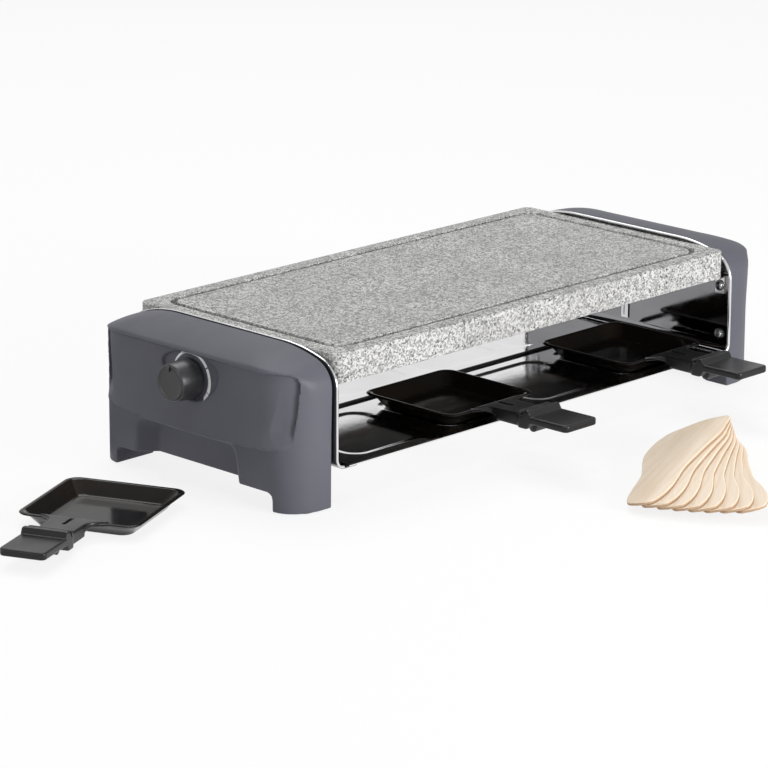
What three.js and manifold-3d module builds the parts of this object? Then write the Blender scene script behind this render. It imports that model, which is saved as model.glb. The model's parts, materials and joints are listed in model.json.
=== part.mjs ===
// Raclette grill with a stone plate, three pans and a fan of wooden spatulas.
// Millimetres, +Z up, the table at z = 0, +X along the grill away from the knob.
import * as THREE from 'three';
import { mergeVertices } from 'three/addons/utils/BufferGeometryUtils.js';
import Module from 'manifold-3d';

const wasm = await Module();
wasm.setup();

// Shared clearances, cuts and facets
const fitGap = 0.3;
const cutOverrun = 3;
const fineSides = 20;
const coarseSides = 12;
const cornerSteps = 4;
const archSteps = 5;

// End liners: bright steel sheet, the rolled edge is the trim
const linerSpan = 440;
const linerDepth = 219;
const linerTop = 115.7;
const sheetThickness = 0.8;
const rimWidth = 2.4;
const rimThickness = 3.2;
const linerBendRadius = 8;
const flangeReach = 20;
const flangeEdgeReach = 12;

// Rounded top shared by liners and housings
const shoulderRadius = 127;
const shoulderAngle = Math.PI / 10;
const archCornerRadius = 22;

// End housings
const shadowGap = 1.4;
const housingLength = 42;
const trimProud = 2.5;
const crownProud = 0.5;
const housingWall = 2.8;
const crownFall = 8.6;
const crownPower = 2.6;
const endDraft = 4.6;
const sideDraft = 1;
const planCornerLength = 36;
const planCornerDepthLow = 28;
const planCornerDepthHigh = 36;
const planCornerShare = 0.97;
const planCornerPowerLow = 2.6;
const planCornerPowerHigh = 2;
const planCornerSteps = 7;
const crownStations = 6;

// Legs and the recess between them
const footHeight = 14.5;
const legWidth = 24;
const footGapRadius = 5;
const recessShift = -6;
const recessWidth = 87;
const recessTopWidth = 80;
const recessTop = 38;
const recessDepth = 12;
const recessCornerRadius = 9;
const recessFlareShare = 0.95;
const padRadius = 8;
const padHeight = 3;
const padProud = 0.8;
const padInset = 12;

// Raised end panel
const panelRaise = 1.5;
const panelSideRaise = 0.9;
const panelBottom = 45.2;
const panelBottomRise = 9;
const panelBottomInset = 8.2;
const panelTopInset = 3.4;
const panelCornerRadius = 5;
const panelBulge = 1;

// Knob, dial and thermostat at the control end
const dialDrop = 32.2;
const dialFloorDepth = 3.4;
const dishHalfWidth = 27;
const dishHalfHeight = 20.5;
const dishShift = 8;
const dishRise = 1.6;
const dishFloorShare = 0.96;
const knobBaseRadius = 15.2;
const knobFaceRadius = 13.9;
const knobHeight = 18.5;
const knobSkirtWall = 2;
const knobHollowDepth = 13;
const knobHubRadius = 5.5;
const knobEdge = 1;
const knobFaceDish = 0.7;
const pointerLength = 4.5;
const pointerWidth = 2.2;
const pointerHeight = 0.9;
const pointerRestAngle = Math.PI / 22;
const shaftRadius = 3;
const shaftFlat = 1.8;
const shaftInKnob = 11;
const shaftInThermostat = 9;
const thermostatWidth = 24;
const thermostatHeight = 22;
const thermostatDepth = 14;
const thermostatPlateDepth = 1.6;
const thermostatPlateMargin = 3;
const terminalWidth = 6.3;
const terminalSheet = 0.8;
const terminalLength = 8;

// Stone plate and its brackets
const stoneEndGap = 4;
const stoneSideGap = 4;
const stoneThickness = 22;
const stoneSunk = 2.7;
const stoneCornerRadius = 8;
const stoneChamfer = 1;
const grooveInset = 15;
const grooveWidth = 5;
const grooveDepth = 2.4;
const bracketWidth = 9;
const bracketReach = 10.5;
const bracketDrop = 14;

// Liner screws
const screwInset = 11.1;
const upperScrewDrop = 8;
const lowerScrewRise = 12.4;
const screwShankRadius = 1.5;
const screwShankLength = 12;
const washerRadius = 4.4;
const washerThickness = 0.8;
const screwHeadRadius = 3.2;
const screwHeadHeight = 2;
const bossRadius = 4;
const bossLength = 18;
const bossWebThickness = 2.4;

// Heating element
const elementRadius = 3.25;
const elementDrop = 15;
const elementLegHalf = 52;
const elementBendRadius = 34;
const elementEndGap = 15;
const elementTail = 20;
const pinRadius = 1.3;
const pinLength = 7;
const collarFlangeRadius = 8;
const collarFlangeThickness = 1.5;
const collarNeckRadius = 5.2;
const collarNeckProud = 2;
const stripWidth = 7;
const stripRise = 7.4;
const stripDrop = 12;
const stripGrooveWidth = 2;
const stripGrooveDepth = 0.5;

// Base tray with its pan places
const trayTop = 30.6;
const trayThickness = 0.8;
const trayEndGap = 7;
const trayHemThickness = 0.4;
const trayHemWidth = 5;
const placeColumns = 4;
const placeEndMargin = 10;
const placeSpacing = 21;
const placeRowShift = 2.5;
const placeCornerRadius = 13;
const placeCornerSteps = 3;
const placeSlope = 2.5;
const placeSunk = 0.6;
const ridgeWidth = 3;
const ridgeHeight = 2;
const ridgeEndMargin = 8;

// Raclette pans
const panRim = 94;
const panRimWidth = 2.6;
const panRimRadius = 9;
const panBase = 72;
const panBaseRadius = 8;
const panHeight = 11.1;
const panWall = 0.9;
const panRestShift = 1.5;
const tongueEndGap = 4;
const tongueThickness = 1;

// Pan handles
const handleRootWidth = 56;
const neckWidth = 29;
const gripWidth = 35;
const neckLength = 38;
const collarLength = 11;
const gripLength = 38;
const flareLength = 15;
const plateThickness = 2;
const plateRise = 1.2;
const neckDrop = 6.5;
const gripRise = 2.4;
const gripThickness = 5.6;
const gripEndRadius = 3;
const ridgeNear = 3.4;
const ridgeFar = 5;
const ridgeStep = 4;
const ridgeRound = 1.3;
const lugDrop = 4;
const lugLength = 9;
const lugWidth = 16;
const slotWidth = 2.5;
const slotLength = 16;
const slotOffset = 3;
const handleScrewOffset = 28;
const handleScrewShankRadius = 1.3;
const handleScrewHeadRadius = 3;
const handleScrewHeadHeight = 1.6;
const handleScrewBite = 2.2;

// Control housing fittings
const glandHeight = 30;
const glandInset = 9;
const glandNeckRadius = 5.6;
const glandFlangeRadius = 8;
const glandFlangeThickness = 1.4;
const glandBoreRadius = 3.6;
const blockLength = 34;
const blockDepth = 13;
const blockHeight = 13;
const blockInset = 8;
const blockWallGap = 49;
const blockWells = 3;
const blockWellRadius = 2;
const blockWellDepth = 9;
const housingFloor = 17.3;

// Loose pan and spatulas on the table
const loosePanAway = 83.3;
const loosePanY = -2;
const loosePanTurn = -66 * Math.PI / 180;
const spatulaCount = 8;
const spatulaLength = 174;
const spatulaWidth = 48;
const spatulaThickness = 2.2;
const spatulaAlong = 83;
const spatulaAway = 112;
const spatulaFirstTurn = 226 * Math.PI / 180;
const spatulaTurnStep = -3.95 * Math.PI / 180;
const spatulaStackTilt = 14 * Math.PI / 180;
const spatulaPivotShare = 0.03;
const spatulaSamples = 13;
// Both edges as shares of the width, against the share of the length from the tip: the blade
// swells on one side only
const bulgedEdgeShares = [
  [0, 0.03], [0.034, 0.29], [0.115, 0.56], [0.197, 0.74], [0.278, 0.795], [0.36, 0.797],
  [0.44, 0.764], [0.52, 0.675], [0.603, 0.56], [0.685, 0.463], [0.765, 0.42], [0.847, 0.38],
  [0.93, 0.326], [0.977, 0.26], [1, 0.09],
];
const straightEdgeShares = [
  [0, 0.06], [0.034, 0.13], [0.115, 0.17], [0.197, 0.21], [0.36, 0.18], [0.52, 0.162],
  [0.603, 0.16], [0.685, 0.195], [0.765, 0.237], [0.847, 0.256], [0.93, 0.231], [0.977, 0.18],
  [1, 0.06],
];

// Derived places
const linerFace = linerSpan / 2;
const linerOuter = linerFace + sheetThickness;
const linerHalf = linerDepth / 2;
const housingStart = linerOuter + shadowGap;
const housingEnd = housingStart + housingLength;
const housingHalf = linerHalf - trimProud;
const housingTop = linerTop + crownProud;
const footGapWidth = 2 * (housingHalf - legWidth);
const panelReach = housingEnd + panelRaise;
const panelBottomHalf = housingHalf - panelBottomInset;
const panelTopHalf = housingHalf - panelTopInset;
const dialHeight = housingTop - dialDrop;
const stoneLength = linerSpan - 2 * stoneEndGap;
const stoneDepth = linerDepth - 2 * stoneSideGap;
const stoneBottom = linerTop - stoneSunk - stoneThickness;
const upperScrewHeight = stoneBottom - upperScrewDrop;
const lowerScrewHeight = trayTop + lowerScrewRise;
const elementHeight = stoneBottom - elementDrop;
const elementFarReach = linerFace - elementEndGap;
const stripBottom = trayTop + stripRise;
const stripTop = stoneBottom - stripDrop;
const screwY = linerHalf - screwInset;
const bossFace = linerOuter + fitGap;
const dialFloor = panelReach - dialFloorDepth;
const trayUnderside = trayTop - trayThickness;
const flangeTop = trayUnderside - fitGap;
const trayHalfReach = linerFace - trayEndGap;
const trayLipHalfReach = linerFace - flangeEdgeReach;
const ridgeHalfReach = trayLipHalfReach - ridgeEndMargin;
const placePitch = 2 * (trayLipHalfReach - placeEndMargin) / placeColumns;
const placeSize = placePitch - placeSpacing;
const placeRowOffset = (linerHalf + placeRowShift) / 2;
const panSeat = trayTop + fitGap;
const panRestOffset = placeRowOffset + panRestShift;
const tongueLength = neckLength - tongueEndGap;
const loosePanX = -panelReach - loosePanAway;
const spatulaTipY = -linerHalf - spatulaAway;
const footPadX = housingEnd - endDraft - padRadius - padInset;
const footPadY = (footGapWidth / 2 + housingHalf) / 2 - padProud;

// Materials
const makeMaterial = (color, roughness, metalness) =>
  new THREE.MeshStandardMaterial({ color, roughness, metalness });
const granite = makeMaterial(0x8b8a86, 0.35, 0);
const housingPlastic = makeMaterial(0x3b3d42, 0.5, 0);
const brightSteel = makeMaterial(0xd9dadb, 0.18, 1);
const mirrorSteel = makeMaterial(0xe4e5e6, 0.06, 1);
const knobPlastic = makeMaterial(0x1c1d1f, 0.4, 0);
const panCoating = makeMaterial(0x0b0b0a, 0.15, 0.2);
const handlePlastic = makeMaterial(0x2b2c2e, 0.55, 0);
const elementMetal = makeMaterial(0x4a4744, 0.5, 0.9);
const rubber = makeMaterial(0x161616, 0.85, 0);
const ceramic = makeMaterial(0xe8e0cf, 0.6, 0);
const wood = makeMaterial(0xe6d2b2, 0.7, 0);

// Turning a shape drawn across (Y, Z) so that its depth runs along X
const alongX = new THREE.Matrix4().makeBasis(
  new THREE.Vector3(0, 1, 0), new THREE.Vector3(0, 0, 1), new THREE.Vector3(1, 0, 0));
// Turning a shape drawn across (X, Z) so that its depth runs along -Y
const alongY = new THREE.Matrix4().makeBasis(
  new THREE.Vector3(1, 0, 0), new THREE.Vector3(0, 0, 1), new THREE.Vector3(0, -1, 0));

// A solid for joining and cutting, from a closed geometry
function toSolid(geometry) {
  const bare = geometry.clone();
  bare.deleteAttribute('normal');
  bare.deleteAttribute('uv');
  const welded = mergeVertices(bare);
  return new wasm.Manifold(new wasm.Mesh({
    numProp: 3,
    vertProperties: new Float32Array(welded.attributes.position.array),
    triVerts: new Uint32Array(welded.index.array),
  }));
}

// A three.js geometry from a finished solid
function toGeometry(solid) {
  const mesh = solid.getMesh();
  const geometry = new THREE.BufferGeometry();
  geometry.setAttribute('position', new THREE.BufferAttribute(mesh.vertProperties, 3));
  geometry.setIndex(new THREE.BufferAttribute(mesh.triVerts, 1));
  return geometry;
}

function joined(solids) {
  return solids.reduce((sum, piece) => sum.add(piece));
}

function cutFrom(solid, cutters) {
  return cutters.reduce((rest, cutter) => rest.subtract(cutter), solid);
}

function namedMesh(name, solid, material) {
  const mesh = new THREE.Mesh(toGeometry(solid), material);
  mesh.name = name;
  return mesh;
}

// Skins a run of equal rings; a closed run bites its own tail, an open one gets two caps
function loft(rings, closed = false) {
  const size = rings[0].length;
  const positions = rings.flat().flatMap((point) => [point.x, point.y, point.z]);
  const faces = [];
  const spans = closed ? rings.length : rings.length - 1;
  for (let span = 0; span < spans; span += 1) {
    const here = span * size;
    const next = ((span + 1) % rings.length) * size;
    for (let side = 0; side < size; side += 1) {
      const after = (side + 1) % size;
      faces.push(here + side, here + after, next + after);
      faces.push(here + side, next + after, next + side);
    }
  }
  if (!closed) {
    const last = (rings.length - 1) * size;
    capFaces(rings[0]).forEach(([a, b, c]) => faces.push(a, c, b));
    capFaces(rings[rings.length - 1]).forEach(([a, b, c]) => faces.push(last + a, last + b, last + c));
  }
  const geometry = new THREE.BufferGeometry();
  geometry.setAttribute('position', new THREE.Float32BufferAttribute(positions, 3));
  geometry.setIndex(faces);
  return toSolid(geometry);
}

// Triangles over a flat ring, wound the way that the ring runs
function capFaces(ring) {
  const normal = new THREE.Vector3();
  ring.forEach((point, index) => {
    normal.add(new THREE.Vector3().crossVectors(point, ring[(index + 1) % ring.length]));
  });
  normal.normalize();
  const across = ring[1].clone().sub(ring[0]).normalize();
  const up = new THREE.Vector3().crossVectors(normal, across);
  const flat = ring.map((point) => new THREE.Vector2(point.dot(across), point.dot(up)));
  return THREE.ShapeUtils.triangulateShape(flat, []);
}

// A box between two corners
function boxBetween(low, high) {
  const size = high.map((value, axis) => value - low[axis]);
  const geometry = new THREE.BoxGeometry(...size);
  geometry.translate(...low.map((value, axis) => value + size[axis] / 2));
  return toSolid(geometry);
}

// A solid of revolution about X from (x, radius) pairs that start and end on the axis
function turnedAboutX(profile, sides, x = 0, y = 0, z = 0) {
  const points = profile.map(([along, radius]) => new THREE.Vector2(radius, along));
  const geometry = new THREE.LatheGeometry(points, sides);
  geometry.rotateZ(-Math.PI / 2);
  geometry.translate(x, y, z);
  return toSolid(geometry);
}

function rodAlongX(radius, from, to, sides, y = 0, z = 0) {
  return turnedAboutX([[from, 0], [from, radius], [to, radius], [to, 0]], sides, 0, y, z);
}

function rodAlongZ(radius, from, to, sides, x = 0, y = 0) {
  const geometry = new THREE.CylinderGeometry(radius, radius, to - from, sides);
  geometry.rotateX(Math.PI / 2);
  geometry.translate(x, y, (from + to) / 2);
  return toSolid(geometry);
}

function extruded(shape, depth, turn, offset = 0, curveSegments = cornerSteps) {
  const geometry = new THREE.ExtrudeGeometry(shape, { depth, bevelEnabled: false, curveSegments });
  geometry.translate(0, 0, offset);
  if (turn) geometry.applyMatrix4(turn);
  return toSolid(geometry);
}

// A rounded rectangle as points, anticlockwise from its right side
function roundedRectangle(width, depth, radius, steps = cornerSteps) {
  const points = [];
  const centres = [[1, 1], [-1, 1], [-1, -1], [1, -1]];
  centres.forEach(([signX, signY], quarter) => {
    for (let step = 0; step <= steps; step += 1) {
      const angle = (quarter + step / steps) * Math.PI / 2;
      points.push(new THREE.Vector2(
        signX * (width / 2 - radius) + radius * Math.cos(angle),
        signY * (depth / 2 - radius) + radius * Math.sin(angle)));
    }
  });
  return points;
}

function ringAt(points, z) {
  return points.map((point) => new THREE.Vector3(point.x, point.y, z));
}

// Upper outline shared by liners and housings, from the right foot over the top to the left foot
function archPoints(half, top, base) {
  const reach = archCornerRadius * (1 - Math.sin(shoulderAngle));
  const cornerCentre = new THREE.Vector2(half - archCornerRadius, 0);
  const shoulderStart = half - reach - shoulderRadius * Math.sin(shoulderAngle);
  const shoulderDrop = shoulderRadius * (1 - Math.cos(shoulderAngle));
  cornerCentre.y = top - shoulderDrop - archCornerRadius * Math.cos(shoulderAngle);
  const right = [new THREE.Vector2(half, base)];
  for (let step = 0; step <= archSteps; step += 1) {
    const angle = step / archSteps * (Math.PI / 2 - shoulderAngle);
    right.push(new THREE.Vector2(
      cornerCentre.x + archCornerRadius * Math.cos(angle),
      cornerCentre.y + archCornerRadius * Math.sin(angle)));
  }
  for (let step = 1; step <= archSteps; step += 1) {
    const angle = shoulderAngle * (1 - step / archSteps);
    right.push(new THREE.Vector2(
      shoulderStart + shoulderRadius * Math.sin(angle),
      top - shoulderRadius * (1 - Math.cos(angle))));
  }
  const left = right.map((point) => new THREE.Vector2(-point.x, point.y)).reverse();
  return right.concat(left);
}

// Plan outline of a housing: straight sides and a faintly bowed end. The corners are full
// at the table and turn round towards the top, as the level's share of the height goes to one
function planPoints(start, end, half, bulge, share) {
  const blend = Math.min(share, 1);
  const cornerDepth = planCornerDepthLow + (planCornerDepthHigh - planCornerDepthLow) * blend;
  const power = planCornerPowerLow + (planCornerPowerHigh - planCornerPowerLow) * blend;
  const cornerLength = Math.min(planCornerLength, (end - start) * planCornerShare);
  const cornerX = end - cornerLength;
  const cornerY = half - cornerDepth;
  const right = [new THREE.Vector2(start, half)];
  for (let step = 0; step <= planCornerSteps; step += 1) {
    const angle = (1 - step / planCornerSteps) * Math.PI / 2;
    const across = Math.cos(angle) ** (2 / power);
    const along = Math.sin(angle) ** (2 / power);
    right.push(new THREE.Vector2(
      cornerX + (cornerLength - bulge) * across,
      cornerY + cornerDepth * along));
  }
  if (bulge) right.push(new THREE.Vector2(end - bulge / 4, cornerY / 2));
  const left = right.map((point) => new THREE.Vector2(point.x, -point.y)).reverse();
  const middle = bulge ? [new THREE.Vector2(end, 0)] : [];
  return right.concat(middle, left).reverse();
}

// Walls of a housing, drafted towards the table; an inset gives the inner skin
function housingWalls(inset, from) {
  const levels = [from, panelBottom, housingTop, housingTop + cutOverrun];
  return loft(levels.map((level) => {
    const share = level / housingTop;
    return ringAt(planPoints(
      housingStart - (inset ? cutOverrun : 0),
      housingEnd - inset - endDraft * (1 - share),
      housingHalf - inset - sideDraft * (1 - share),
      0, share), level);
  }));
}

// Block under the housing's crown, which falls away towards the end
function housingCrown(inset) {
  const reach = panelReach + cutOverrun - housingStart;
  const rings = [];
  for (let station = 0; station <= crownStations; station += 1) {
    const along = reach * station / crownStations;
    const fall = crownFall * (along / housingLength) ** crownPower;
    const x = housingStart + along - (inset && !station ? cutOverrun : 0);
    const outline = archPoints(housingHalf + fitGap - inset, housingTop - inset - fall, -cutOverrun);
    rings.push(outline.map((point) => new THREE.Vector3(x, point.x, point.y)));
  }
  return loft(rings);
}

// Raised end panel: its outline across the end, wrapped round the corners
function housingPanel() {
  const outline = new THREE.Shape();
  const lowCorner = panelBottom + panelBottomRise;
  const above = housingTop + cutOverrun;
  outline.moveTo(0, panelBottom);
  outline.quadraticCurveTo(
    panelBottomHalf / 2, panelBottom + panelBottomRise / 6, panelBottomHalf - panelCornerRadius, lowCorner);
  outline.quadraticCurveTo(
    panelBottomHalf, lowCorner + panelCornerRadius / 3, panelBottomHalf, lowCorner + panelCornerRadius);
  outline.quadraticCurveTo(panelTopHalf, (lowCorner + above) / 2, panelTopHalf, above);
  outline.lineTo(-panelTopHalf, above);
  outline.quadraticCurveTo(
    -panelTopHalf, (lowCorner + above) / 2, -panelBottomHalf, lowCorner + panelCornerRadius);
  outline.quadraticCurveTo(
    -panelBottomHalf, lowCorner + panelCornerRadius / 3, -panelBottomHalf + panelCornerRadius, lowCorner);
  outline.quadraticCurveTo(-panelBottomHalf / 2, panelBottom + panelBottomRise / 6, 0, panelBottom);
  const cutter = extruded(
    outline, housingLength, alongX, housingEnd - planCornerLength + cutOverrun, archSteps);
  const face = planPoints(housingStart, panelReach, housingHalf + panelSideRaise, panelBulge, 1);
  return cutter.intersect(loft([ringAt(face, 0), ringAt(face, housingTop + cutOverrun)]));
}

// Recess between the legs, its sides opening out to the end face
function housingRecess(grow) {
  const rings = [];
  for (const step of [0, 1, 2]) {
    const share = Math.min(step, 1);
    const flare = recessDepth * recessFlareShare * share + grow;
    const x = housingEnd - endDraft - recessDepth * (1 - share) - grow;
    const lower = recessWidth / 2 + flare;
    const upper = recessTopWidth / 2 + flare;
    const top = recessTop + flare / 3;
    const shape = [
      new THREE.Vector2(lower, footHeight - cutOverrun), new THREE.Vector2(upper, top - recessCornerRadius)];
    for (let corner = 1; corner <= cornerSteps; corner += 1) {
      const angle = corner / cornerSteps * Math.PI / 2;
      shape.push(new THREE.Vector2(
        upper - recessCornerRadius * (1 - Math.cos(angle)),
        top - recessCornerRadius * (1 - Math.sin(angle))));
    }
    const outline = shape.concat(shape.map((point) => new THREE.Vector2(-point.x, point.y)).reverse());
    const along = step > 1 ? panelReach + cutOverrun : x;
    rings.push(outline.map((point) => new THREE.Vector3(along, point.x + recessShift, point.y)));
  }
  return loft(rings);
}

// The gap under the housing that leaves two legs
function footGap() {
  const half = footGapWidth / 2;
  const shape = new THREE.Shape();
  shape.moveTo(-half, -cutOverrun);
  shape.lineTo(half, -cutOverrun);
  shape.lineTo(half, footHeight - footGapRadius);
  shape.absarc(half - footGapRadius, footHeight - footGapRadius, footGapRadius, 0, Math.PI / 2);
  shape.absarc(-half + footGapRadius, footHeight - footGapRadius, footGapRadius, Math.PI / 2, Math.PI);
  return extruded(shape, housingLength + 2 * cutOverrun, alongX, housingStart - cutOverrun);
}

function screwPlaces() {
  return [-1, 1].flatMap((side) => [
    { y: side * screwY, z: upperScrewHeight, upper: true },
    { y: side * screwY, z: lowerScrewHeight, upper: false },
  ]);
}

function footPlaces() {
  return [-1, 1].map((side) => ({ x: footPadX, y: side * footPadY }));
}

// Screw bosses with webs to the side walls
function screwBosses() {
  return screwPlaces().map(({ y, z }) => {
    const wallY = Math.sign(y) * (housingHalf - housingWall / 2);
    const web = boxBetween(
      [housingStart + fitGap, Math.min(y, wallY), z - bossWebThickness / 2],
      [bossFace + bossLength - fitGap, Math.max(y, wallY), z + bossWebThickness / 2]);
    return rodAlongX(bossRadius, bossFace, bossFace + bossLength, coarseSides, y, z).add(web);
  });
}

function housingSolid() {
  const cavity = housingWalls(housingWall, housingFloor)
    .intersect(housingCrown(housingWall))
    .subtract(housingRecess(housingWall));
  const shell = housingWalls(0, padProud).add(housingPanel()).intersect(housingCrown(0));
  const bores = screwPlaces().map(({ y, z }) => rodAlongX(
    screwShankRadius + fitGap, bossFace - cutOverrun, linerFace + screwShankLength + fitGap,
    coarseSides, y, z));
  const padPockets = footPlaces().map(({ x, y }) => rodAlongZ(
    padRadius + fitGap, -cutOverrun, padHeight + fitGap, fineSides, x, y));
  const hollow = cutFrom(shell, [cavity, housingRecess(0), footGap(), ...padPockets]);
  return cutFrom(joined([hollow, ...screwBosses()]), bores);
}

// Shallow oval dish round the knob, wider on the side of its scale
function dialDish() {
  const rings = [[dialFloor, dishFloorShare], [panelReach, 1], [panelReach + cutOverrun, 1]];
  return loft(rings.map(([x, share]) => Array.from({ length: fineSides }, (unused, index) => {
    const angle = index / fineSides * 2 * Math.PI;
    return new THREE.Vector3(
      x,
      dishShift + dishHalfWidth * share * Math.cos(angle),
      dialHeight + dishRise + dishHalfHeight * share * Math.sin(angle));
  })));
}

// Section of the D-shaped shaft, grown by a clearance
function shaftSection(grow) {
  const radius = shaftRadius + grow;
  const flat = shaftFlat + grow;
  const start = Math.acos(flat / radius);
  const shape = new THREE.Shape();
  shape.absarc(0, 0, radius, Math.PI / 2 + start, Math.PI * 5 / 2 - start);
  return shape;
}

function shaftAlongX(grow, from, to) {
  return extruded(shaftSection(grow), to - from, alongX, from, fineSides / 2);
}

// Gland axis runs across the side wall
function glandRod(radius, from, to) {
  const geometry = new THREE.CylinderGeometry(radius, radius, to - from, coarseSides);
  geometry.translate(housingStart + glandInset, -(from + to) / 2, glandHeight);
  return toSolid(geometry);
}

function controlHousing() {
  const hole = rodAlongX(
    shaftRadius + 2 * fitGap, housingEnd - 4 * housingWall, panelReach + cutOverrun,
    fineSides, 0, dialHeight);
  const glandHole = glandRod(
    glandNeckRadius + fitGap, housingHalf - 3 * housingWall, housingHalf + cutOverrun);
  return cutFrom(housingSolid(), [dialDish(), hole, glandHole]);
}

// Steel liner: plate, bend and inward flange in one profile, cut to the arched outline
function linerProfile(thickness) {
  const bendCentreX = linerOuter - linerBendRadius;
  const bendCentreZ = flangeTop - sheetThickness + linerBendRadius;
  const inner = linerBendRadius - thickness;
  const shape = new THREE.Shape();
  shape.moveTo(linerOuter, linerTop + cutOverrun);
  shape.lineTo(linerOuter - thickness, linerTop + cutOverrun);
  shape.lineTo(linerOuter - thickness, bendCentreZ);
  shape.absarc(bendCentreX, bendCentreZ, inner, 0, -Math.PI / 2, true);
  shape.lineTo(linerFace - flangeReach, bendCentreZ - inner);
  shape.lineTo(linerFace - flangeReach, bendCentreZ - linerBendRadius);
  shape.lineTo(bendCentreX, bendCentreZ - linerBendRadius);
  shape.absarc(bendCentreX, bendCentreZ, linerBendRadius, -Math.PI / 2, 0);
  return extruded(shape, linerDepth, alongY, -linerHalf);
}

function archPrism(half, top) {
  const shape = new THREE.Shape(archPoints(half, top, 0));
  return extruded(shape, 2 * flangeReach, alongX, linerOuter + cutOverrun - 2 * flangeReach);
}

function linerSolid() {
  const outline = archPrism(linerHalf, linerTop);
  const rimBand = outline.subtract(archPrism(linerHalf - rimWidth, linerTop - rimWidth));
  const rim = linerProfile(rimThickness).intersect(rimBand);
  const plate = linerProfile(sheetThickness).intersect(outline);
  const notches = [-1, 1].map((side) => {
    const near = linerHalf - trayHemWidth - fitGap;
    const edges = [side * near, side * (linerHalf + cutOverrun)].sort((a, b) => a - b);
    return boxBetween(
      [linerFace - flangeReach - cutOverrun, edges[0], 0],
      [linerFace - flangeEdgeReach + fitGap, edges[1], trayTop + rimThickness]);
  });
  const holes = screwPlaces().map(({ y, z }) => rodAlongX(
    screwShankRadius + fitGap, linerFace - cutOverrun, linerOuter + cutOverrun, coarseSides, y, z));
  return cutFrom(plate.add(rim), [...notches, ...holes]);
}

function elementHoles() {
  return [-1, 1].map((side) => rodAlongX(
    collarNeckRadius + fitGap, linerFace - cutOverrun, linerOuter + cutOverrun,
    fineSides, side * elementLegHalf, elementHeight));
}

// Screw with a captive washer, its head towards the pan space
function linerScrew(upper) {
  const seat = linerFace - fitGap - (upper ? sheetThickness + fitGap : 0);
  const washer = seat - washerThickness;
  const head = washer - screwHeadHeight;
  return [
    [head, 0], [head, screwHeadRadius / 2], [head + screwHeadHeight / 3, screwHeadRadius],
    [washer, screwHeadRadius], [washer, washerRadius], [seat, washerRadius],
    [seat, screwShankRadius], [linerFace + screwShankLength, screwShankRadius],
    [linerFace + screwShankLength, 0],
  ];
}

function stoneBracket(side) {
  const back = linerFace - fitGap;
  const front = back - sheetThickness;
  const top = stoneBottom - fitGap;
  const y = side * screwY;
  const leg = boxBetween(
    [front, y - bracketWidth / 2, top - bracketDrop], [back, y + bracketWidth / 2, top]);
  const tab = boxBetween(
    [linerFace - bracketReach, y - bracketWidth / 2, top - sheetThickness],
    [back, y + bracketWidth / 2, top]);
  const hole = rodAlongX(
    screwShankRadius + fitGap, front - cutOverrun, back + cutOverrun, coarseSides, y, upperScrewHeight);
  return leg.add(tab).subtract(hole);
}

function stonePlate() {
  const inset = stoneLength - 2 * stoneChamfer;
  const insetDepth = stoneDepth - 2 * stoneChamfer;
  const full = roundedRectangle(stoneLength, stoneDepth, stoneCornerRadius);
  const trimmed = roundedRectangle(inset, insetDepth, stoneCornerRadius - stoneChamfer);
  const top = stoneBottom + stoneThickness;
  const slab = loft([
    ringAt(trimmed, stoneBottom), ringAt(full, stoneBottom + stoneChamfer),
    ringAt(full, top - stoneChamfer), ringAt(trimmed, top)]);
  const groove = (offset, z) => ringAt(roundedRectangle(
    stoneLength - 2 * (grooveInset + offset), stoneDepth - 2 * (grooveInset + offset),
    stoneCornerRadius + grooveWidth - offset), z);
  const half = grooveWidth / 2;
  const cutter = loft([
    groove(-half, top), groove(-half / 2, top - grooveDepth * 2 / 3), groove(0, top - grooveDepth),
    groove(half / 2, top - grooveDepth * 2 / 3), groove(half, top), groove(half, top + cutOverrun),
    groove(-half, top + cutOverrun)].reverse(), true);
  return slab.subtract(cutter);
}

// Hairpin heating element with thin connection pins
function heatingElement() {
  const start = -(housingStart + elementTail);
  const bendX = elementFarReach - elementBendRadius;
  const bendY = elementLegHalf - elementBendRadius;
  const path = [new THREE.Vector3(start, -elementLegHalf, elementHeight)];
  const turns = 6;
  for (let step = 0; step <= turns; step += 1) {
    const angle = (step / turns - 1) * Math.PI / 2;
    path.push(new THREE.Vector3(
      bendX + elementBendRadius * Math.cos(angle),
      -bendY + elementBendRadius * Math.sin(angle), elementHeight));
  }
  path.push(...path.slice().reverse().map((point) => new THREE.Vector3(point.x, -point.y, point.z)));
  const sides = 12;
  const rings = path.map((point, index) => {
    const before = path[Math.max(index - 1, 0)];
    const after = path[Math.min(index + 1, path.length - 1)];
    const along = after.clone().sub(before).normalize();
    const across = new THREE.Vector3(-along.y, along.x, 0);
    const up = new THREE.Vector3(0, 0, 1);
    return Array.from({ length: sides }, (unused, side) => {
      const angle = side / sides * 2 * Math.PI;
      return point.clone()
        .addScaledVector(across, elementRadius * Math.cos(angle))
        .addScaledVector(up, elementRadius * Math.sin(angle));
    });
  });
  const pins = [-1, 1].map((side) => rodAlongX(
    pinRadius, start - pinLength, start + pinLength, coarseSides, side * elementLegHalf, elementHeight));
  return joined([loft(rings), ...pins]);
}

function elementCollar(side) {
  const back = linerFace - fitGap;
  const profile = [
    [back - collarFlangeThickness, 0], [back - collarFlangeThickness, collarFlangeRadius],
    [back, collarFlangeRadius], [back, collarNeckRadius],
    [linerOuter + collarNeckProud, collarNeckRadius], [linerOuter + collarNeckProud, 0]];
  const y = side * elementLegHalf;
  const bore = rodAlongX(
    elementRadius + fitGap, back - collarFlangeThickness - cutOverrun,
    linerOuter + collarNeckProud + cutOverrun, fineSides, y, elementHeight);
  return turnedAboutX(profile, fineSides, 0, y, elementHeight).subtract(bore);
}

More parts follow.
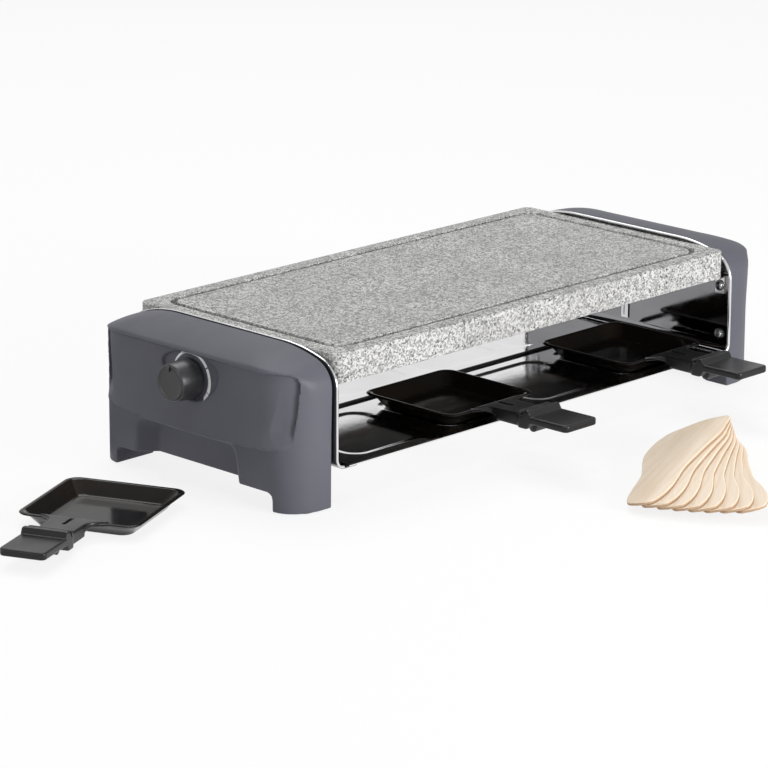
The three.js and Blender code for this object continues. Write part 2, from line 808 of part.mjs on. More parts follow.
// Upright strip on the far liner with a shelf under the element's bend
function heaterEndBracket() {
  const back = linerFace - fitGap;
  const front = back - sheetThickness;
  const shelfTop = elementHeight - elementRadius - fitGap;
  const strip = boxBetween([front, -stripWidth / 2, stripBottom], [back, stripWidth / 2, stripTop]);
  const shelf = boxBetween(
    [elementFarReach - 2 * elementRadius, -stripWidth / 2, shelfTop - sheetThickness],
    [back, stripWidth / 2, shelfTop]);
  const groove = boxBetween(
    [front - cutOverrun, -stripGrooveWidth / 2, stripBottom + stripGrooveWidth],
    [front + stripGrooveDepth, stripGrooveWidth / 2, shelfTop - sheetThickness - stripGrooveWidth]);
  return strip.subtract(groove).add(shelf);
}

function placeCentres() {
  const centres = [];
  for (let column = 0; column < placeColumns; column += 1) {
    const x = (column - (placeColumns - 1) / 2) * placePitch;
    centres.push({ x, y: -placeRowOffset }, { x, y: placeRowOffset });
  }
  return centres;
}

function trayPlace({ x, y }, topZ, grow) {
  const wide = placeSize + 2 * placeSlope + grow;
  const tight = placeSize + grow;
  const rings = [
    ringAt(roundedRectangle(tight, tight, placeCornerRadius, placeCornerSteps), topZ - placeSunk),
    ringAt(roundedRectangle(wide, wide, placeCornerRadius + placeSlope, placeCornerSteps), topZ)];
  return { x, y, rings };
}

function placedLoft({ x, y, rings }, extraTop) {
  const lifted = extraTop
    ? rings.concat([rings[1].map((point) => point.clone().setZ(point.z + extraTop))])
    : rings;
  return loft(lifted).translate(x, y, 0);
}

function baseTray() {
  const corner = linerHalf - rimWidth - fitGap;
  const shape = new THREE.Shape([
    [trayLipHalfReach, -linerHalf], [trayLipHalfReach, -corner], [trayHalfReach, -corner],
    [trayHalfReach, corner], [trayLipHalfReach, corner], [trayLipHalfReach, linerHalf],
    [-trayLipHalfReach, linerHalf], [-trayLipHalfReach, corner], [-trayHalfReach, corner],
    [-trayHalfReach, -corner], [-trayLipHalfReach, -corner], [-trayLipHalfReach, -linerHalf],
  ].map(([x, y]) => new THREE.Vector2(x, y)));
  const sheet = extruded(shape, trayThickness, null, trayUnderside);
  const hems = [-1, 1].map((side) => {
    const edges = [side * linerHalf, side * (linerHalf - trayHemWidth)].sort((a, b) => a - b);
    return boxBetween(
      [-trayLipHalfReach, edges[0], trayUnderside - trayHemThickness],
      [trayLipHalfReach, edges[1], trayUnderside + trayThickness / 2]);
  });
  const bulges = placeCentres().map((place) => placedLoft(
    trayPlace(place, trayUnderside, placeSlope), trayThickness / 2));
  const wells = placeCentres().map((place) => placedLoft(trayPlace(place, trayTop, 0), cutOverrun));
  const ridgeShape = new THREE.Shape([
    new THREE.Vector2(-ridgeWidth / 2, trayTop - trayThickness / 2),
    new THREE.Vector2(ridgeWidth / 2, trayTop - trayThickness / 2),
    new THREE.Vector2(ridgeWidth / 2, trayTop),
    new THREE.Vector2(ridgeWidth / 4, trayTop + ridgeHeight),
    new THREE.Vector2(-ridgeWidth / 4, trayTop + ridgeHeight),
    new THREE.Vector2(-ridgeWidth / 2, trayTop)]);
  const ridge = extruded(ridgeShape, 2 * ridgeHalfReach, alongX, -ridgeHalfReach);
  return cutFrom(joined([sheet, ridge, ...hems, ...bulges]), wells);
}

// Outline of the handle root and of the metal tongue under it, half of it, flared towards the rim
function flaredPlan(rootHalf, neckHalf, from, to) {
  const shape = new THREE.Shape();
  shape.moveTo(rootHalf, from);
  shape.bezierCurveTo(
    neckHalf + flareLength / 5, from, neckHalf, from - flareLength / 2, neckHalf, from - flareLength);
  shape.lineTo(neckHalf, to);
  shape.lineTo(-neckHalf, to);
  shape.lineTo(-neckHalf, from - flareLength);
  shape.bezierCurveTo(
    -neckHalf, from - flareLength / 2, -neckHalf - flareLength / 5, from, -rootHalf, from);
  return shape;
}

// Pressed dish with a rolled rim and a tongue under the handle
function panDish() {
  const square = (size, radius, z) => ringAt(roundedRectangle(size, size, radius), z);
  const innerRim = panRim - 2 * panRimWidth;
  const slopeTop = panHeight - panRimWidth / 2;
  const dish = loft([
    square(panBase, panBaseRadius, 0),
    square(panBase + 2 * panWall, panBaseRadius + panWall, panWall),
    square(innerRim, panRimRadius, slopeTop),
    square(panRim - panWall, panRimRadius, slopeTop),
    square(panRim, panRimRadius, slopeTop + panRimWidth / 4),
    square(panRim - panRimWidth / 2, panRimRadius, panHeight),
    square(innerRim, panRimRadius, panHeight),
    square(innerRim - 2 * panWall, panRimRadius - panWall, slopeTop),
    square(panBase - panWall, panBaseRadius - panWall / 2, 2 * panWall),
    square(panBase - 3 * panWall, panBaseRadius - panWall, panWall)]);
  const inner = neckWidth / 2 - plateThickness - fitGap;
  const root = handleRootWidth / 2 - plateThickness - fitGap;
  const plan = flaredPlan(root, inner, -panRim / 2 + panRimWidth / 2, -panRim / 2 - tongueLength);
  const tongueTop = panHeight - fitGap;
  const tongue = extruded(plan, tongueThickness, null, tongueTop - tongueThickness);
  const hole = rodAlongZ(
    handleScrewShankRadius + fitGap, 0, panHeight + cutOverrun, coarseSides,
    0, -panRim / 2 - handleScrewOffset);
  return dish.add(tongue).subtract(hole);
}

// Moulded handle: side profile and plan outline meet, then the hollow, slot and screw hole are cut
function panHandle() {
  const root = -panRim / 2;
  const collarStart = root - neckLength;
  const gripStart = collarStart - collarLength;
  const end = gripStart - gripLength;
  const plateLow = panHeight + fitGap;
  const plateTop = plateLow + plateThickness;
  const neckTop = plateTop + plateRise;
  const gripTop = plateTop + gripRise;
  const neckLow = plateLow - neckDrop;
  const groove = collarStart - collarLength / 2;
  const side = new THREE.Shape([
    [root, plateLow], [root, plateTop], [collarStart + ridgeRound, neckTop],
    [collarStart, neckTop + ridgeNear], [collarStart - ridgeRound, neckTop + ridgeNear],
    [groove + ridgeRound, neckTop + ridgeNear / 2], [groove, neckTop + ridgeNear / 2],
    [groove - ridgeRound, neckTop + ridgeFar], [groove - ridgeStep, neckTop + ridgeFar],
    [gripStart, gripTop - plateRise], [end + gripEndRadius, gripTop],
    [end, gripTop - plateRise / 2], [end, gripTop - gripThickness],
    [gripStart, gripTop - gripThickness - plateRise], [gripStart + plateThickness, neckLow],
    [gripStart + lugLength / 3, neckLow - lugDrop + plateThickness],
    [gripStart + lugLength * 2 / 3, neckLow - lugDrop + plateThickness],
    [collarStart + plateThickness, neckLow], [root - flareLength - plateThickness, neckLow + plateThickness],
    [root - flareLength, plateLow],
  ].map(([y, z]) => new THREE.Vector2(y, z)));
  const profile = extruded(side, handleRootWidth, alongX, -handleRootWidth / 2);
  const gripHalf = gripWidth / 2;
  const plan = new THREE.Shape();
  plan.moveTo(handleRootWidth / 2, root);
  plan.bezierCurveTo(
    neckWidth / 2 + flareLength / 5, root, neckWidth / 2, root - flareLength / 2,
    neckWidth / 2, root - flareLength);
  plan.lineTo(neckWidth / 2, collarStart + ridgeRound);
  plan.lineTo(gripHalf, collarStart - ridgeRound);
  plan.lineTo(gripHalf, end + gripEndRadius);
  plan.absarc(gripHalf - gripEndRadius, end + gripEndRadius, gripEndRadius, 0, -Math.PI / 2, true);
  plan.absarc(-gripHalf + gripEndRadius, end + gripEndRadius, gripEndRadius, -Math.PI / 2, -Math.PI, true);
  plan.lineTo(-gripHalf, collarStart - ridgeRound);
  plan.lineTo(-neckWidth / 2, collarStart + ridgeRound);
  plan.lineTo(-neckWidth / 2, root - flareLength);
  plan.bezierCurveTo(
    -neckWidth / 2, root - flareLength / 2, -neckWidth / 2 - flareLength / 5, root,
    -handleRootWidth / 2, root);
  const block = profile.intersect(extruded(plan, 2 * panHeight + cutOverrun, null, -cutOverrun));
  const hollow = boxBetween(
    [-neckWidth / 2 + plateThickness, collarStart + plateThickness, -cutOverrun],
    [neckWidth / 2 - plateThickness, root + cutOverrun, plateLow]);
  const lugSides = [-1, 1].map((sign) => {
    const edges = [sign * lugWidth / 2, sign * (gripHalf + cutOverrun)].sort((a, b) => a - b);
    return boxBetween([edges[0], gripStart, -cutOverrun], [edges[1], collarStart + plateThickness, neckLow]);
  });
  const slot = boxBetween(
    [-slotWidth / 2, root - slotOffset - slotLength, plateLow + plateThickness / 2],
    [slotWidth / 2, root - slotOffset, plateTop + cutOverrun]);
  const screwHole = rodAlongZ(
    handleScrewShankRadius + fitGap, 0, plateLow + handleScrewBite + fitGap, coarseSides,
    0, root - handleScrewOffset);
  return cutFrom(block, [hollow, slot, screwHole, ...lugSides]);
}

function handleScrew() {
  const seat = panHeight - fitGap - tongueThickness - fitGap;
  const head = rodAlongZ(
    handleScrewHeadRadius, seat - handleScrewHeadHeight, seat, coarseSides,
    0, -panRim / 2 - handleScrewOffset);
  const shank = rodAlongZ(
    handleScrewShankRadius, seat - handleScrewHeadHeight / 2, panHeight + fitGap + handleScrewBite,
    coarseSides, 0, -panRim / 2 - handleScrewOffset);
  return head.add(shank);
}

function raclettePan(name) {
  const pan = new THREE.Group();
  pan.add(
    namedMesh(`${name}_dish`, panDish(), panCoating),
    namedMesh(`${name}_handle`, panHandle(), handlePlastic),
    namedMesh(`${name}_screw`, handleScrew(), brightSteel));
  return pan;
}

// Knob round its own axis, with a hub for the shaft
function controlKnob() {
  const back = dialFloor + 2 * fitGap;
  const face = back + knobHeight;
  const body = turnedAboutX([
    [back, 0], [back, knobBaseRadius], [face - knobEdge, knobFaceRadius],
    [face, knobFaceRadius - knobEdge], [face - knobFaceDish, knobFaceRadius * 3 / 4],
    [face - knobFaceDish, 0]], fineSides);
  const hollow = turnedAboutX([
    [back - cutOverrun, knobHubRadius], [back + knobHollowDepth, knobHubRadius],
    [back + knobHollowDepth, knobFaceRadius - knobSkirtWall],
    [back - cutOverrun, knobBaseRadius - knobSkirtWall],
    [back - cutOverrun, knobHubRadius]], fineSides);
  const bore = shaftAlongX(fitGap, back - cutOverrun, back + shaftInKnob + fitGap);
  const pointer = boxBetween(
    [face - knobFaceDish - knobEdge, -pointerWidth / 2, knobFaceRadius - knobEdge - pointerLength],
    [face + pointerHeight, pointerWidth / 2, knobFaceRadius - knobEdge]);
  return cutFrom(body, [hollow, bore]).add(pointer);
}

function thermostatShaft() {
  const inner = housingEnd - housingWall - endDraft;
  return shaftAlongX(0, inner - shaftInThermostat, dialFloor + 2 * fitGap + shaftInKnob);
}

function thermostatBody() {
  const front = housingEnd - housingWall - endDraft;
  const back = front - thermostatDepth;
  const halfY = thermostatWidth / 2;
  const halfZ = thermostatHeight / 2;
  const block = boxBetween([back, -halfY, dialHeight - halfZ], [front, halfY, dialHeight + halfZ]);
  const plate = boxBetween(
    [front - thermostatPlateDepth, -halfY - thermostatPlateMargin, dialHeight - halfZ],
    [front, halfY + thermostatPlateMargin, dialHeight + halfZ]);
  const terminals = [-1, 1].map((side) => boxBetween(
    [back - terminalLength, side * halfY / 2 - terminalSheet / 2, dialHeight - terminalWidth / 2],
    [back + terminalSheet, side * halfY / 2 + terminalSheet / 2, dialHeight + terminalWidth / 2]));
  const bore = rodAlongX(
    shaftRadius + fitGap, front - shaftInThermostat - fitGap, front + cutOverrun, fineSides, 0, dialHeight);
  return joined([block, plate, ...terminals]).subtract(bore);
}

function cordGland() {
  const wallOuter = housingHalf + fitGap;
  const neck = glandRod(glandNeckRadius, housingHalf - 2 * housingWall, wallOuter + glandFlangeThickness);
  const flange = glandRod(glandFlangeRadius, wallOuter, wallOuter + glandFlangeThickness);
  const bore = glandRod(
    glandBoreRadius, housingHalf - 2 * housingWall - cutOverrun,
    wallOuter + glandFlangeThickness + cutOverrun);
  return neck.add(flange).subtract(bore);
}

function terminalBlock() {
  const x = housingStart + blockInset;
  const low = housingFloor + fitGap;
  const y = blockWallGap - housingHalf;
  const block = boxBetween(
    [x, y - blockLength / 2, low], [x + blockDepth, y + blockLength / 2, low + blockHeight]);
  const wells = [];
  for (let index = 0; index < blockWells; index += 1) {
    const offset = (index - (blockWells - 1) / 2) * blockLength / blockWells;
    wells.push(rodAlongZ(
      blockWellRadius, low + blockHeight - blockWellDepth, low + blockHeight + cutOverrun, coarseSides,
      x + blockDepth / 2, y + offset));
  }
  return cutFrom(block, wells);
}

function footPad(x, y) {
  return rodAlongZ(padRadius, 0, padHeight, fineSides, x, y);
}

// One edge of a spatula from its tip to its foot, on one side of its middle line
function spatulaEdge(shares, side) {
  const curve = new THREE.SplineCurve(shares.map(([along, across]) => new THREE.Vector2(
    (along - spatulaPivotShare) * spatulaLength, side * across * spatulaWidth)));
  return curve.getSpacedPoints(spatulaSamples);
}

// Blade, waist and foot, its pivot in the fan at the origin and its length along +X
function spatulaSolid() {
  const straight = spatulaEdge(straightEdgeShares, 1);
  const bulged = spatulaEdge(bulgedEdgeShares, -1).reverse();
  return extruded(new THREE.Shape(straight.concat(bulged)), spatulaThickness, null);
}

// Everything that repeats at both ends, in a frame whose +X points out of the grill
function grillEnd(endName, control) {
  const end = new THREE.Group();
  const housing = control ? controlHousing() : housingSolid();
  const liner = control ? cutFrom(linerSolid(), elementHoles()) : linerSolid();
  end.add(namedMesh(`housing_${endName}`, housing, housingPlastic));
  end.add(namedMesh(`liner_${endName}`, liner, brightSteel));
  screwPlaces().forEach(({ y, z, upper }) => {
    const front = (y > 0) === control;
    const name = `liner_screw_${endName}_${front ? 'front' : 'back'}_${upper ? 'upper' : 'lower'}`;
    end.add(namedMesh(name, turnedAboutX(linerScrew(upper), coarseSides, 0, y, z), brightSteel));
  });
  [-1, 1].forEach((side) => {
    const front = (side > 0) === control;
    end.add(namedMesh(
      `stone_bracket_${endName}_${front ? 'front' : 'back'}`, stoneBracket(side), brightSteel));
  });
  footPlaces().forEach(({ x, y }) => {
    const front = (y > 0) === control;
    end.add(namedMesh(`foot_pad_${endName}_${front ? 'front' : 'back'}`, footPad(x, y), rubber));
  });
  if (control) end.rotation.z = Math.PI;
  return end;
}

function controlEndFittings() {
  const fittings = new THREE.Group();
  const turning = new THREE.Group();
  turning.add(
    namedMesh('control_knob', controlKnob(), knobPlastic),
    namedMesh('thermostat_shaft', thermostatShaft(), brightSteel));
  turning.position.z = dialHeight;
  turning.rotation.x = pointerRestAngle;
  fittings.add(
    turning,
    namedMesh('thermostat_body', thermostatBody(), ceramic),
    namedMesh('cord_gland', cordGland(), rubber),
    namedMesh('terminal_block', terminalBlock(), ceramic));
  ['back', 'front'].forEach((place, index) => {
    fittings.add(namedMesh(`element_collar_${place}`, elementCollar(2 * index - 1), ceramic));
  });
  fittings.rotation.z = Math.PI;
  return fittings;
}

function spatulaFan() {
  const fan = new THREE.Group();
  const stack = new THREE.Group();
  for (let index = 0; index < spatulaCount; index += 1) {
    const spatula = namedMesh(`spatula_${index + 1}`, spatulaSolid(), wood);
    spatula.position.z = index * (spatulaThickness + fitGap);
    spatula.rotation.z = index * spatulaTurnStep;
    stack.add(spatula);
  }
  stack.rotation.x = spatulaStackTilt;
  fan.add(stack);
  fan.rotation.z = spatulaFirstTurn;
  fan.updateMatrixWorld(true);
  const box = new THREE.Box3().setFromObject(fan, true);
  fan.position.set(spatulaAlong, spatulaTipY, -box.min.z);
  return fan;
}

const grill = new THREE.Group();
grill.add(grillEnd('left', true), grillEnd('right', false), controlEndFittings());
grill.add(namedMesh('stone_plate', stonePlate(), granite));
grill.add(namedMesh('base_tray', baseTray(), mirrorSteel));
grill.add(namedMesh('heating_element', heatingElement(), elementMetal));
grill.add(namedMesh('heater_end_bracket', heaterEndBracket(), brightSteel));

const secondPlacePan = raclettePan('pan_2');
secondPlacePan.position.set(-placePitch / 2, -panRestOffset, panSeat);
const fourthPlacePan = raclettePan('pan_4');
fourthPlacePan.position.set(placePitch * 3 / 2, -panRestOffset, panSeat);
const loosePan = raclettePan('pan_loose');
loosePan.position.set(loosePanX, loosePanY, 0);
loosePan.rotation.z = loosePanTurn;
grill.add(secondPlacePan, fourthPlacePan, loosePan, spatulaFan());

// The whole set stands centred on its own origin
const setBox = new THREE.Box3().setFromObject(grill, true);
grill.position.set(-(setBox.min.x + setBox.max.x) / 2, -(setBox.min.y + setBox.max.y) / 2, 0);

export default grill;
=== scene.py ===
"""Raclette grill: looks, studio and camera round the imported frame."""
from __future__ import annotations

import json
import logging
import math
from collections.abc import Callable, Sequence
from dataclasses import dataclass, field
from enum import Enum

import bpy
import numpy as np
from mathutils import Matrix, Vector

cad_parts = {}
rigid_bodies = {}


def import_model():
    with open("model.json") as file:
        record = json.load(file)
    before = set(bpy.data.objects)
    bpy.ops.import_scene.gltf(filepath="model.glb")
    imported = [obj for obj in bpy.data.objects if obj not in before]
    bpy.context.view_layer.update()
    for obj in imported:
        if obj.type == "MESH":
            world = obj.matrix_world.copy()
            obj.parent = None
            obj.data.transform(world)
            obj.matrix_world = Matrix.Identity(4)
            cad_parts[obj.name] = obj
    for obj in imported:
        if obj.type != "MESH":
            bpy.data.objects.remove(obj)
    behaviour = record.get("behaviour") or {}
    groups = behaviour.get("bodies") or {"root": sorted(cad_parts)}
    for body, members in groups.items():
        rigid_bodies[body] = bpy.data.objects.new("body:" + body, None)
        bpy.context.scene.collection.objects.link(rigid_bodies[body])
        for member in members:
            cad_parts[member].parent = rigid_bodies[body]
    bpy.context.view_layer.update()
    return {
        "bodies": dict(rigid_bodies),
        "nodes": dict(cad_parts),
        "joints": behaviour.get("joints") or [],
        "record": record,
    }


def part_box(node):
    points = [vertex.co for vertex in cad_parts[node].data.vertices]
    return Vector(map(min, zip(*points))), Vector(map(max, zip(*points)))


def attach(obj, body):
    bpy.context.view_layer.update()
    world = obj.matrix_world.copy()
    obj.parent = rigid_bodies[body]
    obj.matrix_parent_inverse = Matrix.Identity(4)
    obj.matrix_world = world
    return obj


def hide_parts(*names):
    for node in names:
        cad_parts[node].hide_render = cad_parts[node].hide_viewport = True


MILLIMETRE = 0.001
TINY = 1e-6
QUARTER_TURN = math.pi / 2
EXPONENT_LIMIT = 30
DRAWING_ROUNDS = 4
LEAST_SLOPE = 0.05
OWN_PLACE = "own_place"
DIAL_HEIGHT = 84.0
LINER_FACE = 220.0
Points = np.ndarray
Faces = list[Sequence[int]]
Span = tuple[float, float]
Place = tuple[float, float, float]
Colour = tuple[float, float, float, float]
Node = bpy.types.Node
Socket = bpy.types.NodeSocket
Tree = bpy.types.NodeTree
Material = bpy.types.Material
SignedField = Callable[[Points, Points, Points], Points]
log = logging.getLogger("raclette_grill")


# Shapes

def soft_max(first: Points, second: Points, radius: float) -> Points:
    """Larger of two fields, with a rounded join.

    Args:
        first: one signed field.
        second: the other signed field.
        radius: width over which the join is rounded, in millimetres.

    Returns:
        The joined field.
    """
    near = np.maximum(radius - np.abs(first - second), 0) / radius
    return np.maximum(first, second) + near * near * radius / 4


def soft_min(first: Points, second: Points, radius: float) -> Points:
    """Smaller of two fields, with a rounded join (see soft_max)."""
    return -soft_max(-first, -second, radius)


def share_of(value: Points, span: Span) -> Points:
    """Share from nought to one as a value crosses a span evenly."""
    return np.clip((value - span[0]) / (span[1] - span[0]), 0, 1)


def eased(value: Points, span: Span) -> Points:
    """Share from nought to one as a value crosses a span, with a soft start and end."""
    share = share_of(value, span)
    return share * share * (3 - 2 * share)


def mixed(first: Points, second: Points, share: Points) -> Points:
    """A value part of the way from the first to the second."""
    return first + (second - first) * share


def faded(value: Points, width: float) -> Points:
    """One where a value is well below nought and nought well above it, along an S curve."""
    return 1 / (1 + np.exp(np.clip(value / width, -EXPONENT_LIMIT, EXPONENT_LIMIT)))


def plateau(value: Points, half_width: float) -> Points:
    """One round nought and nought beyond the half width, with steep soft sides."""
    return np.exp(-(value / half_width) ** 4)


def unit_rows(rows: Points) -> Points:
    """Rows brought to a length of one."""
    return rows / np.maximum(np.linalg.norm(rows, axis=-1, keepdims=True), TINY)


def circle(sides: int) -> Points:
    """Rows of a circle with a radius of one, anticlockwise."""
    angles = np.arange(sides) / sides * 2 * math.pi
    return np.column_stack((np.cos(angles), np.sin(angles)))


def arc(centre: Span, radius: float, angles: Span, steps: int) -> Points:
    """Points of an arc.

    Args:
        centre: the arc's centre.
        radius: the arc's radius.
        angles: first and last angle in radians, anticlockwise from the first axis.
        steps: facets along the arc.

    Returns:
        One row of two numbers for each point.
    """
    turn = np.linspace(*angles, steps + 1)
    return np.array(centre) + radius * np.column_stack((np.cos(turn), np.sin(turn)))


def rounded_square(half_width: float, half_depth: float, radius: float, steps: int = 8) -> Points:
    """Outline of a rounded rectangle.

    Args:
        half_width: half the size along X.
        half_depth: half the size along Y.
        radius: corner radius.
        steps: facets in each corner.

    Returns:
        Points anticlockwise, one (x, y) row each.
    """
    corners = []
    for quarter, (sign_x, sign_y) in enumerate(((1, 1), (-1, 1), (-1, -1), (1, -1))):
        centre = (sign_x * (half_width - radius), sign_y * (half_depth - radius))
        corners.append(arc(centre, radius, (quarter * QUARTER_TURN, (quarter + 1) * QUARTER_TURN), steps))
    return np.vstack(corners)


def at_height(outline: Points, height: float) -> Points:
    """An outline's (x, y) rows as points at one height."""
    return np.column_stack((outline, np.full(len(outline), height)))


def at_x(outline: Points, x: float) -> Points:
    """An outline's (y, z) rows as points at one x."""
    return np.column_stack((np.full(len(outline), x), outline))


@dataclass
class Shape:
    """Points and faces of one piece in millimetres, before it becomes a Blender mesh."""

    points: Points
    faces: Faces

    def joined(self, other: Shape) -> Shape:
        """Both shapes as one.

        Args:
            other: the shape that is added.

        Returns:
            A new shape.
        """
        offset = len(self.points)
        faces = self.faces + [[index + offset for index in face] for face in other.faces]
        return Shape(np.vstack((self.points, other.points)), faces)

    def placed(self, matrix: Matrix) -> Shape:
        """The shape moved by a matrix in millimetres."""
        turn = np.array(matrix.to_3x3())
        return Shape(self.points @ turn.T + np.array(matrix.translation), self.faces)


def skinned(rings: Sequence[Points]) -> Shape:
    """Skins a run of equal rings and closes both ends.

    Args:
        rings: rings with the same number of points, anticlockwise seen from where the run ends.

    Returns:
        The skinned shape.
    """
    size = len(rings[0])
    last = (len(rings) - 1) * size
    faces: Faces = []
    for here in range(0, last, size):
        for side in range(size):
            after = (side + 1) % size
            faces.append((here + side, here + after, here + size + after, here + size + side))
    faces.append(tuple(range(size - 1, -1, -1)))
    faces.append(tuple(range(last, last + size)))
    return Shape(np.vstack(rings), faces)


def turned(profile: Sequence[Span], sides: int = 64) -> Shape:
    """Turns a profile about X.

    Args:
        profile: (x, radius) pairs from the low end to the high end.
        sides: facets round the axis.

    Returns:
        The turned shape, its ends closed.
    """
    return skinned([at_x(radius * circle(sides), x) for x, radius in profile])


def tube(path: Points, radius: float, sides: int, level: Place) -> Shape:
    """Runs a round tube along a path, its rings carried along without a twist.

    Args:
        path: points of the path.
        radius: the tube's radius.
        sides: facets round the tube.
        level: the first ring starts square to the path and to this direction.

    Returns:
        The tube, its ends closed.
    """
    section = radius * circle(sides)
    along = unit_rows(np.gradient(path, axis=0))
    across = np.cross(along[0], level)
    rings = []
    for point, direction in zip(path, along):
        across = unit_rows(across - direction * np.dot(across, direction))
        other = np.cross(direction, across)
        rings.append(point + section[:, :1] * across + section[:, 1:] * other)
    return skinned(rings)


def field_skin(shape_field: SignedField, low: Sequence[float], high: Sequence[float], step: float) -> Shape:
    """Skins the zero level of a signed field with quads drawn onto it.

    Args:
        shape_field: negative inside the piece, in millimetres.
        low: lowest corner of the searched box.
        high: highest corner of the searched box.
        step: spacing of the search grid.

    Returns:
        The closed skin.
    """
    axes = [np.arange(start, stop + step, step) for start, stop in zip(low, high)]
    values = shape_field(*np.meshgrid(*axes, indexing="ij"))
    inside = values < 0
    cells = tuple(count - 1 for count in values.shape)
    total = np.zeros(cells + (3,))
    count = np.zeros(cells)
    crossings = []
    for axis in range(3):
        here = [slice(None)] * 3
        there = [slice(None)] * 3
        here[axis], there[axis] = slice(0, -1), slice(1, None)
        start, stop = values[tuple(here)], values[tuple(there)]
        crossed = inside[tuple(here)] != inside[tuple(there)]
        share = np.where(crossed, start / np.where(crossed, start - stop, 1), 0)
        crossings.append(crossed)
        grids = np.meshgrid(*[np.arange(size) for size in crossed.shape], indexing="ij")
        places = np.stack(grids, -1).astype(float)
        places[..., axis] += share
        others = [other for other in range(3) if other != axis]
        for first in (0, 1):
            for second in (0, 1):
                window = [slice(0, cells[0]), slice(0, cells[1]), slice(0, cells[2])]
                window[others[0]] = slice(first, first + cells[others[0]])
                window[others[1]] = slice(second, second + cells[others[1]])
                mask = crossed[tuple(window)]
                total += places[tuple(window)] * mask[..., None]
                count += mask
    used = count > 0
    numbers = np.full(cells, -1)
    numbers[used] = np.arange(used.sum())
    points = total[used] / count[used][:, None] * step + np.array(low)
    quads = []
    for axis in range(3):
        first, second = (axis + 1) % 3, (axis + 2) % 3
        place = np.argwhere(crossings[axis])
        keep = (place[:, first] > 0) & (place[:, second] > 0)
        keep &= (place[:, first] < cells[first]) & (place[:, second] < cells[second])
        place = place[keep]
        corners = []
        for back_first, back_second in ((1, 1), (0, 1), (0, 0), (1, 0)):
            corner = place.copy()
            corner[:, first] -= back_first
            corner[:, second] -= back_second
            corners.append(numbers[tuple(corner.T)])
        quad = np.stack(corners, 1)
        outward = inside[tuple(place.T)]
        quads.append(np.where(outward[:, None], quad, quad[:, ::-1]))
    points = drawn_onto(shape_field, points, step)
    return Shape(points, np.vstack(quads).tolist())


def drawn_onto(shape_field: SignedField, points: Points, step: float) -> Points:
    """Moves points onto the zero level of a field.

    Args:
        shape_field: the signed field.
        points: points near its zero level.
        step: how far a point may move in one round.

    Returns:
        The moved points.
    """
    reach = step / 5
    for _ in range(DRAWING_ROUNDS):
        value = shape_field(*points.T)
        slope = np.stack([
            (shape_field(*(points + reach * unit).T) - shape_field(*(points - reach * unit).T)) / (2 * reach)
            for unit in np.eye(3)], 1)
        length = np.maximum((slope ** 2).sum(1), LEAST_SLOPE)
        move = -value[:, None] * slope / length[:, None]
        size = np.linalg.norm(move, axis=1, keepdims=True)
        points = points + move * np.minimum(1, step / 2 / np.maximum(size, TINY))
    return points


# Shader nodes

class Sockets:
    """Short ways to add and wire shader nodes in one tree."""

    def __init__(self, tree: Tree) -> None:
        """Keeps the tree."""
        self.tree = tree

    def add(self, kind: str, **values: object) -> Node:
        """Adds a node.

        Args:
            kind: Blender's node type.
            values: node properties, or sockets by name with spaces written as underscores; a
                socket value is a constant or another node's output.

        Returns:
            The new node.
        """
        node = self.tree.nodes.new(kind)
        for name, value in values.items():
            if hasattr(node, name) and not isinstance(value, Socket):
                setattr(node, name, value)
            else:
                self.feed(node, name.replace("_", " "), value)
        return node

    def feed(self, node: Node, socket: str | int, value: object) -> None:
        """Sets or links one input of a node.

        Args:
            node: the node.
            socket: the input's name or number.
            value: a constant or another node's output.
        """
        target = node.inputs[socket]
        if isinstance(value, Socket):
            self.tree.links.new(value, target)
        else:
            target.default_value = value

    def feed_all(self, node: Node, **values: object) -> None:
        """Sets or links inputs of a node by name, with spaces written as underscores."""
        for name, value in values.items():
            self.feed(node, name.replace("_", " "), value)

    def numbered(self, node: Node, values: dict[int, object], output: int = 0) -> Socket:
        """Sets or links inputs of a node by number.

        Args:
            node: the node.
            values: each input's number with its value.
            output: number of the wanted output.

        Returns:
            That output.
        """
        for index, value in values.items():
            self.feed(node, index, value)
        return node.outputs[output]

    def maths(self, operation: str, *values: object) -> Socket:
        """A Math node's output."""
        return self.numbered(self.add("ShaderNodeMath", operation=operation), dict(enumerate(values)))

    def blend(self, share: object, first: object, second: object) -> Socket:
        """A colour part of the way from the first to the second."""
        return self.numbered(self.add("ShaderNodeMix", data_type="RGBA"), {0: share, 6: first, 7: second}, 2)

    def between(self, share: object, first: object, second: object) -> Socket:
        """A number part of the way from the first to the second."""
        return self.numbered(self.add("ShaderNodeMix"), {0: share, 2: first, 3: second})

    def span(self, value: object, low: float, high: float, to_low: float = 0, to_high: float = 1) -> Socket:
        """A clamped Map Range's output."""
        values = dict(enumerate((value, low, high, to_low, to_high)))
        return self.numbered(self.add("ShaderNodeMapRange"), values)

    def place(self) -> Socket:
        """Object coordinates."""
        return self.add("ShaderNodeTexCoord").outputs["Object"]

    def stretched(self, place: Socket, stretch: Place) -> Socket:
        """Coordinates stretched along the axes."""
        return self.add("ShaderNodeMapping", Vector=place, Scale=stretch).outputs[0]

    def noise(self, place: Socket, scale: object, detail: float, **values: object) -> Socket:
        """A noise's value at a place."""
        return self.add("ShaderNodeTexNoise", Vector=place, Scale=scale, Detail=detail, **values).outputs[0]

    def height(self, vector: Socket) -> Socket:
        """A vector's Z."""
        return self.add("ShaderNodeSeparateXYZ", Vector=vector).outputs[2]

    def facing(self) -> Socket:
        """How far a surface looks up, from minus one to one."""
        return self.height(self.add("ShaderNodeNewGeometry").outputs["Normal"])


class Effect(Enum):
    """Shader groups that several finishes share."""

    GRAIN = "surface_grain"
    WEAR = "edge_wear"
    SMEAR = "handling_smears"
    DRIFT = "colour_drift"


